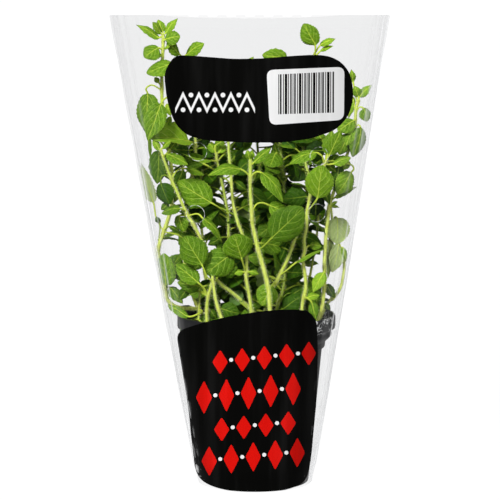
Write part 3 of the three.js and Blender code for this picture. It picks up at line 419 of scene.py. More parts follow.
# %% Helpers for geometry trees
def geometry_tree(name, inputs, output):
    """A geometry tree with named inputs, as its Nodes, the input sockets and their identifiers."""
    tree = bpy.data.node_groups.new(name, "GeometryNodeTree")
    ids = {}
    for label, kind in inputs.items():
        socket = tree.interface.new_socket(name=label, in_out="INPUT", socket_type="NodeSocket" + kind)
        ids[label] = socket.identifier
    tree.interface.new_socket(name=output, in_out="OUTPUT", socket_type="NodeSocketGeometry")
    nodes = Nodes(tree)
    source = tree.nodes.new("NodeGroupInput")
    given = {label: Sock(nodes, source.outputs[label]) for label in inputs}
    return nodes, given, ids


def end_tree(nodes, geometry):
    """Links the last geometry to the tree's output."""
    nodes.tree.links.new(geometry.socket, nodes.tree.nodes.new("NodeGroupOutput").inputs[0])


def grow(piece, nodes, ids, values, name):
    """Runs a geometry tree on the piece with the given inputs, and bakes it."""
    modifier = piece.modifiers.new(nodes.tree.name, "NODES")
    modifier.node_group = nodes.tree
    for label, value in values.items():
        modifier[ids[label]] = value
    return baked(piece, name)


def random_vector(nodes, low, high, seed):
    return nodes.add("FunctionNodeRandomValue", {"data_type": "FLOAT_VECTOR"},
                     {"Min": low, "Max": high, "Seed": seed}, "Value")


def random_turn(nodes, low, high, seed):
    return nodes.add("FunctionNodeEulerToRotation", {}, {"Euler": random_vector(nodes, low, high, seed)})


def realised(nodes, instances, finish):
    """Instances as real faces with their finish, because the export drops instances."""
    real = nodes.add("GeometryNodeRealizeInstances", {}, {"Geometry": instances})
    return nodes.add("GeometryNodeSetMaterial", {}, {"Geometry": real, "Material": finish})


print("tree helpers ready")

# %% Crumbs
CRUMB_DENSITY, CRUMB_SIZE, CRUMB_SEED = 520000.0, 1.25, 4

nodes, given, crumb_ids = geometry_tree("crumbs", {
    "Bed": "Geometry", "Crumbs per square metre": "Float", "Size": "Float", "Seed": "Int",
    "Finish": "Material"}, "Crumbs")
facing = nodes.add("GeometryNodeInputNormal", {}, {})
height = nodes.split(nodes.add("GeometryNodeInputPosition", {}, {}))[2]
on_top = nodes.split(facing)[2].math("GREATER_THAN", 0.5).math("MULTIPLY", height.math("GREATER_THAN", 0.09))
spread = nodes.add("GeometryNodeDistributePointsOnFaces", {}, {
    "Mesh": given["Bed"], "Selection": on_top, "Density": given["Crumbs per square metre"],
    "Seed": given["Seed"]})
lump = nodes.add("GeometryNodeMeshIcoSphere", {}, {"Radius": 1.0, "Subdivisions": 1})
stretch = random_vector(nodes, (0.35, 0.3, 0.2), (1.5, 0.9, 0.7), 3)
scale = nodes.add("ShaderNodeVectorMath", {"operation": "SCALE"}, {"Vector": stretch, "Scale": given["Size"]})
turn = random_turn(nodes, (-0.6, -0.6, -3.1), (0.6, 0.6, 3.1), 5)
laid = nodes.add("GeometryNodeInstanceOnPoints", {}, {
    "Points": spread, "Instance": lump, "Rotation": turn, "Scale": scale})
end_tree(nodes, realised(nodes, laid, given["Finish"]))

crumbs = grow(put_in_scene("crumbs", bed.data.copy()), nodes, crumb_ids, {
    "Crumbs per square metre": CRUMB_DENSITY, "Size": CRUMB_SIZE * MM, "Seed": CRUMB_SEED,
    "Finish": mix_material}, "potting_mix_crumbs")
hand_over(bed, "potting_mix", "potting_mix")
hand_over(crumbs, "potting_mix")
print("crumbs:", len(crumbs.data.polygons), "faces")

# %% [markdown]
# ## The film sleeve
# The sleeve is clear film, a front and a back panel welded down each side into a cone, with a tuck
# round the pot's foot. The CAD gives its section at each height. Here the same formula makes a thinner,
# rippled skin: the film flutes where it turns sharply at the two welds and lies almost smooth in front.

# %% Sleeve section and ripple
FILM = 0.4                  # thickness of the CAD wall, inside which leaves and stems stay
FILM_SHOWN = 0.16           # thick enough for rays to tell one side from the other
SLEEVE_HEIGHT, FRONT_SAG, NOTCH_DEPTH = 297.6, 2.0, 1.0
FOOT_RADIUS, CONE_START = 36.7, 12
HALF_WIDTH, HALF_DEPTH, MIDDLE = (37.6, 0.1655), (38.2, 0.140), (-0.9, -0.0115)


def sleeve_section(z):
    """Half width, half depth and middle of the sleeve's outside at a height."""
    tuck = min(1, max(0, z) / CONE_START) ** 0.7
    blend = lambda cone: FOOT_RADIUS + (cone - FOOT_RADIUS) * tuck
    return (blend(HALF_WIDTH[0] + HALF_WIDTH[1] * z), blend(HALF_DEPTH[0] + HALF_DEPTH[1] * z),
            MIDDLE[0] + MIDDLE[1] * z)


def ripple(angle, z):
    """How far the film bows outwards here, in millimetres."""
    side = abs(math.cos(angle)) ** 5
    up = min(1, z / 60)
    flutes = 0.4 * math.sin(38 * angle + 1.2 * math.sin(z / 55)) + 0.2 * math.sin(61 * angle - z / 90)
    broad = 0.45 * math.sin(5 * angle + z / 80) + 0.3 * math.sin(9 * angle - z / 47)
    return up * (0.45 + side * flutes + broad * 0.6)


def film_point(angle, z, lift=0.0):
    half_width, half_depth, middle = sleeve_section(z)
    out = ripple(angle, z) + lift
    return middle + (half_width + out) * math.cos(angle), (half_depth + out) * math.sin(angle), z


def inside_film(point, margin):
    """Moves a point that would poke through the film back inside it."""
    half_width, half_depth, middle = sleeve_section(point[2])
    reach = math.hypot((point[0] - middle) / (half_width - FILM - margin),
                       point[1] / (half_depth - FILM - margin))
    if reach <= 1:
        return np.array(point, float)
    return np.array((middle + (point[0] - middle) / reach, point[1] / reach, point[2]))


print("half width, half depth and middle at the mouth:", [round(v, 1) for v in sleeve_section(SLEEVE_HEIGHT)])

# %% [markdown]
# ## Film finish
# Clear film is mostly not there: light goes through with a slight grey, and only a share comes back as
# gloss, more at a grazing angle. A Mix Shader between Transparent and a glossy plastic says that, and the
# plastic also glows: painted light that keeps the milky share pale even where no lamp lights it.
# Stretch marks run up the film, so the mask is a noise that is long in the sleeve's height; the marks are real,
# and their paleness is partly that painted glow.

# %% Film finish
CLEAR, RIM_CLEAR = (0.953, 0.954, 0.955), (0.93, 0.94, 0.94)
# The milky share of the film glows with MILKY_GLOW: painted light, not a lamp.
MILKY, MILKY_GLOW = (0.10, 0.10, 0.10), (0.66, 0.662, 0.668)


def see_through(nodes, tint, share, solid):
    """A surface that lets light through with a tint, apart from a share that is solid."""
    clear = nodes.add("ShaderNodeBsdfTransparent", {}, {"Color": tint})
    set_surface(nodes, nodes.add("ShaderNodeMixShader", {}, {0: share, 1: clear, 2: solid}))


film_material, nodes = new_material("clear_film")
round_film, up_film = nodes.uv("sleeve")
streaks = nodes.long_noise(3, X=round_film * 85, Y=up_film * 1.6).smooth(0.5, 0.82)
clouds = nodes.long_noise(2, X=round_film * 14, Y=up_film * 3.5).smooth(0.45, 0.8)
facing = nodes.add("ShaderNodeLayerWeight", {}, {"Blend": 0.32}, "Facing")
low_side = up_film.smooth(0.24, 0.06) * facing.smooth(0.12, 0.4)
# Pale lines low at the sleeve's sides are painted glints of its creases.
painted_crease_glint = abs(clouds - 0.5).smooth(0.3, 0.0) * low_side
# The haze is stronger at a grazing angle and along the stretch marks, and its share glows with painted light.
haze_and_glints = facing ** 5 * (streaks * 3.0 + 3.5) + painted_crease_glint * 0.1 + streaks * 0.0012 + 0.0004
see_through(nodes, CLEAR, haze_and_glints, principled(nodes, {
    "Base Color": MILKY, "Roughness": 0.12, "IOR": 1.5, "Emission Color": MILKY_GLOW, "Emission Strength": 1.0,
    "Normal": bump(nodes, streaks + clouds * 0.5, 0.25)}))

weld_material, nodes = new_material("welded_film")
pressed = nodes.noise(nodes.object_place(), 160, 2).smooth(0.35, 0.65)
# The weld's milky share glows as well, with painted light.
see_through(nodes, CLEAR, pressed * 0.12 + 0.16, principled(nodes, {
    "Base Color": MILKY, "Roughness": 0.2, "Emission Color": MILKY_GLOW, "Emission Strength": 1.0}))
print("finishes:", film_material.name, weld_material.name)

# %% Film sheet with its toothed edge
NOTCH_WIDTH, NOTCH_PITCH, NOTCH_COUNT, NOTCH_MIDDLE = 6.3, 12.45, 7, -4.1
SAG_SPAN = 0.62              # the share of the half width over which the front of the mouth sags
EDGE_STEP = 0.0006           # angle between the two columns that stand at a notch's edge


def notch_angles():
    half_width, _, middle = sleeve_section(SLEEVE_HEIGHT)
    for k in range(NOTCH_COUNT):
        x = NOTCH_MIDDLE + (k - (NOTCH_COUNT - 1) / 2) * NOTCH_PITCH
        yield tuple(math.acos((x + side * NOTCH_WIDTH / 2 - middle) / half_width) for side in (1, -1))


NOTCHES = list(notch_angles())


def top_edge(angle):
    """The mouth's height here: notched at the back and sagging a little in front."""
    if 0 < angle < math.pi:
        return SLEEVE_HEIGHT - NOTCH_DEPTH * any(low < angle < high for low, high in NOTCHES)
    return SLEEVE_HEIGHT - FRONT_SAG * max(0, 1 - (math.cos(angle) / SAG_SPAN) ** 2) ** 0.7


columns = set(round_angles(300).tolist())
for edge in [a for pair in NOTCHES for a in pair] + [math.pi]:
    columns |= {edge - EDGE_STEP, edge + EDGE_STEP}
columns |= {EDGE_STEP}
columns = sorted(columns)
rises = [0, 0.005, 0.012, 0.02, 0.03, 0.04, *np.linspace(0.055, 1, 64)]
outer = [[film_point(a, rise * top_edge(a)) for a in columns] for rise in rises]
inner = [[film_point(a, rise * top_edge(a), -FILM_SHOWN) for a in columns] for rise in reversed(rises)]
sheet_rings = outer + inner
film = add_mesh("film_sleeve_sheet", [p for ring in sheet_rings for p in ring],
                tube_faces(len(sheet_rings), len(columns), closed=True), film_material)
face_outwards(film.data)
print("film:", len(film.data.polygons), "faces before its vents are cut")

# %% Vents
VENT_RADIUS = 5.5
VENTS = ((-35.6, 215.6), (37.7, 212.5), (-37.2, 177), (36.5, 177.5))      # across and up

punches = []
for x, height in VENTS:
    bpy.ops.mesh.primitive_cylinder_add(radius=VENT_RADIUS * MM, depth=0.3, vertices=40,
                                        location=(x * MM, 0, height * MM), rotation=(math.pi / 2, 0, 0))
    punches.append(bpy.context.object)
film = cut_away(film, punches)


def wrap_uv(mesh):
    """The film's own map: once round the sleeve across, and its height up."""
    layer = mesh.uv_layers.new(name="sleeve")
    points = np.empty(len(mesh.vertices) * 3)
    mesh.vertices.foreach_get("co", points)
    points = points.reshape(-1, 3) / MM
    corner = np.empty(len(mesh.loops), int)
    mesh.loops.foreach_get("vertex_index", corner)
    middle = MIDDLE[0] + MIDDLE[1] * points[:, 2]
    turns = np.arctan2(points[:, 1], points[:, 0] - middle) / (2 * math.pi)
    uv = np.stack([turns[corner], points[corner, 2] / SLEEVE_HEIGHT], 1)
    layer.data.foreach_set("uv", uv.astype(np.float32).ravel())


wrap_uv(film.data)
film.data.set_sharp_from_angle(angle=math.radians(50))
hand_over(film, "film", "film_sleeve")
print("film:", len(film.data.polygons), "faces")

# %% [markdown]
# ## Welds and vent rims
# The two edges where the panels were welded stand out as thin flat fins. They curl a little as the film
# shrinks, so each fin is a strip whose middle wanders. A punched vent has a thicker rim of melted film:
# a thin bead that lies on the sleeve round each hole, in front and behind.

# %% Weld fins
def strip(name, rows_of_corners, material):
    """A closed bar from rows of four corners."""
    points = [p for row in rows_of_corners for p in row]
    piece = add_mesh(name, points, tube_faces(len(rows_of_corners), 4), material)
    face_outwards(piece.data)
    return piece


SEAM_WIDTH, FIN_ROWS, FIN_HALF = 1.7, 150, 0.08
for side, label in ((1, "right"), (-1, "left")):
    rows = []
    for z in np.linspace(2, SLEEVE_HEIGHT - 0.2, FIN_ROWS):
        half_width, _, middle = sleeve_section(z)
        edge = middle + side * (half_width + 0.2 * min(1, z / 60))
        wide = SEAM_WIDTH * min(1, z / 100) - (1.0 * min(1, (SLEEVE_HEIGHT - z) / 90) if side > 0 else 0)
        end = edge + side * max(0.15, wide - 0.5 + 0.2 * math.sin(z / 7.3))
        sway = 0.5 * math.sin(z / 9 + side) * min(1, z / 40)
        rows.append([(edge, -FIN_HALF, z), (end, sway - FIN_HALF, z),
                     (end, sway + FIN_HALF, z), (edge, FIN_HALF, z)])
    fin = hand_over(strip("film_weld_" + label, rows, weld_material), "film")
    print(label, "weld:", len(fin.data.polygons), "faces")

# %% Vent rims
rim_material, nodes = new_material("melted_film")
glints = nodes.noise(nodes.object_place(), 420, 2).smooth(0.42, 0.6)
bright = principled(nodes, {"Base Color": (0.95, 0.96, 0.96), "Roughness": 0.2})
see_through(nodes, RIM_CLEAR, glints * 0.5 + 0.02, bright)


def bead(path, radius, sides):
    """Rings of a thin round bead along a closed path."""
    count = len(path)
    for i, point in enumerate(path):
        along = np.subtract(path[(i + 1) % count], path[i - 1])
        along = along / np.linalg.norm(along)
        out = np.cross(along, (0, 1, 0))
        out = out / np.linalg.norm(out)
        across = np.cross(along, out)
        yield [np.array(point) + radius * (math.cos(a) * out + math.sin(a) * across)
               for a in round_angles(sides)]


RIM_RADIUS, RIM_BEAD, RIM_POINTS, RIM_SIDES = VENT_RADIUS + 0.1, 0.15, 40, 6
points, faces = [], []
for x, height in VENTS:
    for panel in (-1, 1):
        path = []
        for a in round_angles(RIM_POINTS):
            z = height + RIM_RADIUS * math.sin(a)
            half_width, _, middle = sleeve_section(z)
            share = (x + RIM_RADIUS * math.cos(a) - middle) / half_width
            path.append(film_point(panel * math.acos(share), z))
        faces += tube_faces(RIM_POINTS, RIM_SIDES, len(points), closed=True)
        points += [p for ring in bead(path, RIM_BEAD, RIM_SIDES) for p in ring]
rims = add_mesh("film_vent_rims", points, faces, rim_material)
face_outwards(rims.data)
hand_over(rims, "film")
print("vent rims:", len(rims.data.polygons), "faces")

# %% [markdown]
# ## Print on the film
# Ink lies on the film in flat shapes. Each outline below is drawn as the eye sees it and carried back
# onto the curved front of the sleeve. A constrained triangulation fills it with small even triangles,
# which bend with the film, and a second layer of the same points closes it into a sheet.

# %% Ink finishes
FOLD_GLINT_SIDE, FOLD_GLINT_HEIGHT = (0.034, 0.039), (0.034, 0.014)     # where glints are painted on the gathered film, in metres


def ink(name, colour, roughness, glow=0.0):
    """Ink that crinkles with the film, with a painted sheen along its crinkles and painted glints in the folds
    at the pot's foot.
    """
    material, nodes = new_material(name)
    across, _, up = nodes.split(nodes.object_place())
    crinkle = nodes.long_noise(3, X=across * 95, Z=up * 9)
    folds = nodes.long_noise(3, X=across * 420, Z=up * 90)
    corner = abs(across + up * -MIDDLE[1] + -MIDDLE[0] * MM).smooth(*FOLD_GLINT_SIDE) * up.smooth(*FOLD_GLINT_HEIGHT)
    # Pale lines in the folds at the pot's foot are painted glints.
    glint = abs(folds - 0.5).smooth(0.035, 0.0) * corner
    fleck = nodes.noise(nodes.object_place(), 900, 2)
    # A lighter colour along the crinkles is a painted sheen.
    shade = nodes.mix(crinkle.smooth(0.45, 0.8), colour, tuple(min(1, c * 1.25 + 0.004) for c in colour))
    shade = nodes.mix(glint * 0.35, shade, (0.3, 0.3, 0.31))
    set_surface(nodes, principled(nodes, {
        "Base Color": shade, "Roughness": crinkle * 0.16 + (roughness - 0.08),
        "Specular IOR Level": 0.06, "Emission Color": (1.0, 1.0, 1.0), "Emission Strength": glow,
        "Normal": bump(nodes, crinkle + fleck * 0.04, 1.1)}))
    return material


black_ink = ink("black_ink", (0.0012, 0.0012, 0.0010), 0.36)
# The white ink glows a little: painted light that keeps the panel evenly pale.
white_ink = ink("white_ink", (0.36, 0.36, 0.36), 0.42, 0.38)
red_ink = ink("red_ink", (0.50, 0.004, 0.002), 0.4)
print("inks:", black_ink.name, white_ink.name, red_ink.name)

# %% From the drawing to the film
INK, LAYER_STEP, FIRST_LAYER = 0.05, 0.2, 0.1
FIRST_DEPTH, TRIES = -60.0, 12      # where the search for the film starts, and its steps


def on_film(across, up):
    """Where a point drawn from the camera's eye meets the front of the film: its angle and height."""
    y = FIRST_DEPTH
    for _ in range(TRIES):
        k = (VIEW_DISTANCE + y) / VIEW_DISTANCE
        x, z = VIEW_X + (across - VIEW_X) * k, max(0.4, VIEW_HEIGHT + (up - VIEW_HEIGHT) * k)
        half_width, half_depth, middle = sleeve_section(z)
        share = max(-1, min(1, (x - middle) / half_width))
        y = -half_depth * math.sqrt(1 - share * share)
    return -math.acos(share), z


def finely(outline, step):
    """The outline with points added so that no side is longer than the step."""
    fine = []
    for a, b in zip(outline, outline[1:] + outline[:1]):
        parts = max(1, math.ceil(math.dist(a, b) / step))
        fine += [(a[0] + (b[0] - a[0]) * i / parts, a[1] + (b[1] - a[1]) * i / parts) for i in range(parts)]
    return fine


def within(point, outline):
    x, y = point
    inside = False
    for (ax, ay), (bx, by) in zip(outline, outline[1:] + outline[:1]):
        if (ay > y) != (by > y) and x < ax + (y - ay) * (bx - ax) / (by - ay):
            inside = not inside
    return inside


print("a point of the label lies on the film at angle and height", [round(v, 2) for v in on_film(0, 245)])

# %% Ink sheets
def ink_sheet(name, outlines, layer, material, step=2.2):
    """Closed sheets of ink, `layer` sheets up from the film."""
    points, faces = [], []
    low = FIRST_LAYER + (layer - 1) * LAYER_STEP
    for outline in outlines:
        edge = finely(outline, step)
        xs, ys = zip(*outline)
        grid = [(x, y) for x in np.arange(min(xs), max(xs), step) for y in np.arange(min(ys), max(ys), step)]
        grid = [p for p in grid if within(p, outline) and min(math.dist(p, q) for q in edge) > step * 0.45]
        flat, _, triangles, *_ = delaunay_2d_cdt([tuple(map(float, p)) for p in edge + grid], [],
                                                 [list(range(len(edge)))], 1, 1e-5)
        places = [on_film(*p) for p in flat]
        first, count = len(points), len(flat)
        points += [film_point(a, z, low + INK) for a, z in places] + [film_point(a, z, low) for a, z in places]
        sides = {}
        for t in triangles:
            for a, b in zip(t, (*t[1:], t[0])):
                sides.setdefault((min(a, b), max(a, b)), []).append((a, b))
            faces.append(tuple(first + i for i in t))
            faces.append(tuple(first + count + i for i in reversed(t)))
        faces += [(first + b, first + a, first + count + a, first + count + b)
                  for (a, b), *others in sides.values() if not others]
    piece = add_mesh(name, points, faces, material)
    face_outwards(piece.data)
    piece.data.set_sharp_from_angle(angle=math.radians(40))
    piece.visible_shadow = False
    return hand_over(piece, "film")


print("the first sheet of ink lies", FIRST_LAYER, "mm above the film")

# %% [markdown]
# ## The printed shapes
# Two black patches carry the print: a rounded label high up with a white panel of bars, and a large
# one that wraps the pot. Both are kept plain. Rules fill them: a zigzag with dots on the label, rows of
# lozenges with dots on the lower one, and bars whose widths repeat, with no numbers.

# %% Black patches
def rounded(outline, radius, steps=5):
    """The outline with each corner cut to an arc by a quadratic curve."""
    smooth = []
    for before, corner, after in zip(outline[-1:] + outline[:-1], outline, outline[1:] + outline[:1]):
        ends = []
        for other in (before, after):
            share = min(0.5, radius / math.dist(corner, other))
            ends.append(tuple(c + (o - c) * share for c, o in zip(corner, other)))
        for i in range(steps + 1):
            t = i / steps
            smooth.append(tuple((1 - t) ** 2 * s + 2 * t * (1 - t) * c + t * t * e
                                for s, c, e in zip(ends[0], corner, ends[1])))
    return smooth


LABEL = [(-58.3, 261.4), (-51.6, 272.5), (-38.3, 272.0), (-14.2, 270.1), (3.8, 270.4), (21.9, 272.0),
         (36.4, 272.8), (46.1, 272.0), (54.5, 267.5), (59.4, 259.1), (60.9, 247.0), (58.3, 234.9),
         (49.9, 225.2), (34.1, 219.8), (16.0, 217.4), (-8.2, 217.4), (-31.3, 218.6), (-44.5, 222.2),
         (-51.8, 230.1), (-56.5, 244.6)]
WRAP = [(-50.2, 92.8), (-48.2, 97.4), (-32.9, 102.5), (-16.9, 106.4), (2.3, 109.6), (21.5, 110.9),
        (30.5, 110.3), (35.2, 107.7), (38.3, 102.5), (39.2, 87.7), (38.4, 51.9), (35.6, 19.2),
        (33.9, 6), (31.6, -1), (24.9, -5.2), (13.8, -8.2), (-1.8, -9.3), (-17.3, -7.6),
        (-28.4, -4.8), (-36.2, -0.3), (-39.6, 7.4), (-42.7, 38.9), (-46.4, 68.2)]
CORNER = 5
for name, outline in (("label", LABEL), ("wrap", WRAP)):
    patch = ink_sheet("print_black_" + name, [rounded(outline, CORNER)], 1, black_ink)
    print("black", name + ":", len(patch.data.polygons), "faces")

# %% White panel, zigzag and dots on the label
def dot(x, y, radius, sides=14):
    return [(x + radius * math.cos(a), y + radius * math.sin(a)) for a in round_angles(sides)]


def zigzag(left, right, low, high, teeth, weight):
    xs = np.linspace(left, right, 2 * teeth + 1)
    middle = [(x, high if i % 2 else low) for i, x in enumerate(xs)]
    return [(x, y + weight / 2) for x, y in middle] + [(x, y - weight / 2) for x, y in reversed(middle)]


PANEL = [(6.2, 263.2), (55.1, 265.1), (54.6, 231.7), (8.1, 228.5)]
ZIGZAG_ENDS, ZIGZAG_HEIGHTS, ZIGZAG_TEETH, ZIGZAG_WEIGHT = (-51, -1), (237.5, 248), 5, 3.4
marks = [zigzag(*ZIGZAG_ENDS, *ZIGZAG_HEIGHTS, ZIGZAG_TEETH, ZIGZAG_WEIGHT)]
tooth = (ZIGZAG_ENDS[1] - ZIGZAG_ENDS[0]) / ZIGZAG_TEETH
marks += [dot(ZIGZAG_ENDS[0] + tooth * (k + 0.5), ZIGZAG_HEIGHTS[0] + 0.6, 1.5) for k in range(ZIGZAG_TEETH)]
marks += [dot(ZIGZAG_ENDS[0] + tooth * k, ZIGZAG_HEIGHTS[1] - 0.6, 1.5) for k in range(1, ZIGZAG_TEETH)]
ink_sheet("print_white_label", [rounded(PANEL, 4.6)] + marks, 2, white_ink)
print("marks on the label:", len(marks))

# %% Bars on the panel
BAR_WIDTHS, BAR_GAPS = (0.5, 1.0, 0.5, 1.5, 0.5, 0.9), (0.5, 0.9, 0.6)
BARS_FROM, BARS_TO, BARS_LOW, BARS_HIGH = 13.5, 49, 235.3, 260.4
bars, x, k = [], BARS_FROM, 0
while x < BARS_TO:
    width = BAR_WIDTHS[k % len(BAR_WIDTHS)]
    low, high = BARS_LOW + 0.03 * (x - 13), BARS_HIGH + 0.05 * (x - 13)
    bars.append([(x, low), (x + width, low), (x + width, high), (x, high)])
    x += width + BAR_GAPS[k % len(BAR_GAPS)]
    k += 1
ink_sheet("print_bars", bars, 3, black_ink)
print("bars:", len(bars))

# %% Lozenges and dots on the wrap
LOZENGE_ROWS = ((79, -23, 16), (57, -33, 22), (35, -22, 16), (15, -30, 20))     # up, leftmost, how tall
IN_A_ROW, PITCH, HALF, DOT = 5, 14, 5, 1.3
lozenges, dots = [], []
for up, left, tall in LOZENGE_ROWS:
    for k in range(IN_A_ROW):
        x = left + PITCH * k
        y = up + 0.1 * x
        if x < 35.5 - 0.05 * (80 - up):
            lozenges.append([(x - HALF, y), (x, y - tall / 2), (x + HALF, y), (x, y + tall / 2)])
            if k:
                dots.append(dot(x - PITCH / 2, y, DOT, 12))
ink_sheet("print_red_lozenges", [rounded(lozenge, 1.2, 3) for lozenge in lozenges], 2, red_ink)
ink_sheet("print_white_dots", dots, 2, white_ink)
print("lozenges:", len(lozenges), "dots:", len(dots))

# %% [markdown]
# ## Where everything on the plant grows
# Every shoot is a smooth line up from the mix, and every leaf hangs on one of those lines. The table
# gives each point as the camera's eye draws it, in millimetres across and up, with its depth. `placed`
# turns such a point into a real one, so the plant stands in space and can be seen from any side.

# %% From the drawing to space
def placed(point):
    """The real place of a point of the table."""
    across, up, depth = point
    k = (VIEW_DISTANCE + depth) / VIEW_DISTANCE
    return np.array((VIEW_X + (across - VIEW_X) * k, depth, VIEW_HEIGHT + (up - VIEW_HEIGHT) * k))


def drawn(point):
    """Where the camera's eye draws a real point, across and up."""
    k = VIEW_DISTANCE / (VIEW_DISTANCE + point[1])
    return VIEW_X + (point[0] - VIEW_X) * k, VIEW_HEIGHT + (point[2] - VIEW_HEIGHT) * k


def with_depth(point):
    """A real point in the table's form."""
    return (*drawn(point), point[1])


def unit(vector):
    return np.asarray(vector, float) / np.linalg.norm(vector)


class Route:
    """A smooth centripetal curve through points; a share of 0 to 1 runs over its spans."""

    def __init__(self, points):
        p = [np.array(q, float) for q in points]
        self.p = [2 * p[0] - p[1], *p, 2 * p[-1] - p[-2]]
        self.spans = len(p) - 1

    def at(self, share):
        """The point and the direction there."""
        span = min(self.spans - 1, int(share * self.spans))
        w = share * self.spans - span
        x0, x1, x2, x3 = self.p[span:span + 4]
        steps = [float(np.sum((b - a) ** 2)) ** 0.25 for a, b in ((x0, x1), (x1, x2), (x2, x3))]
        d1 = steps[1] if steps[1] > 1e-4 else 1.0
        d0, d2 = (d if d > 1e-4 else d1 for d in (steps[0], steps[2]))
        t1 = ((x1 - x0) / d0 - (x2 - x0) / (d0 + d1) + (x2 - x1) / d1) * d1
        t2 = ((x2 - x1) / d1 - (x3 - x1) / (d1 + d2) + (x3 - x2) / d2) * d1
        a, b = 2 * x1 - 2 * x2 + t1 + t2, -3 * x1 + 3 * x2 - 2 * t1 - t2
        return ((a * w + b) * w + t1) * w + x1, unit((3 * a * w + 2 * b) * w + t1)

    def evenly(self, step):
        """Points an equal length apart along the curve."""
        fine = np.array([self.at(i / 400)[0] for i in range(401)])
        lengths = np.concatenate([[0], np.cumsum(np.linalg.norm(np.diff(fine, axis=0), axis=1))])
        stops = np.linspace(0, lengths[-1], math.ceil(lengths[-1] / step) + 1)
        return np.stack([np.interp(stops, lengths, fine[:, i]) for i in range(3)], 1)


print("the table's point (40, 200, -30) is really at", placed((40, 200, -30)).round(1))


# %% [markdown]
# ## The shoots and their leaves
# A shoot has the `foot` where it leaves the mix, its width there (`thick`) and its drawn path (`line`).
# A leaf has the place `at` which its stalk leaves the stem, the blade's `base` and `tip`, its `width`,
# and the way its upper side faces. `piece` names a leaf that is a node of the CAD model, `via` holds
# points that a bent stalk passes, and `arch` and `fold` bend the blade along and across. `pairs` fills
# a hidden stretch: lowest, highest, spacing, size and turn.

# %% Table of shoots
UP, FRONT, UP_FRONT = (0, 0, 1), (0, -1, 0), (0, -0.7, 0.7)
LEFT_FRONT, RIGHT_FRONT = (-0.45, -0.9, 0.1), (0.45, -0.9, 0.1)

# A leaf's age runs from young (0) to old (1); above 1.1 it darkens the leaf as painted shade, up to 3 for the
# deepest.
Leaf = namedtuple("Leaf", "at base tip width face piece via age arch fold",
                  defaults=(FRONT, "", (), None, 1, -0.12))
Shoot = namedtuple("Shoot", "foot thick line leaves pairs", defaults=((), ()))

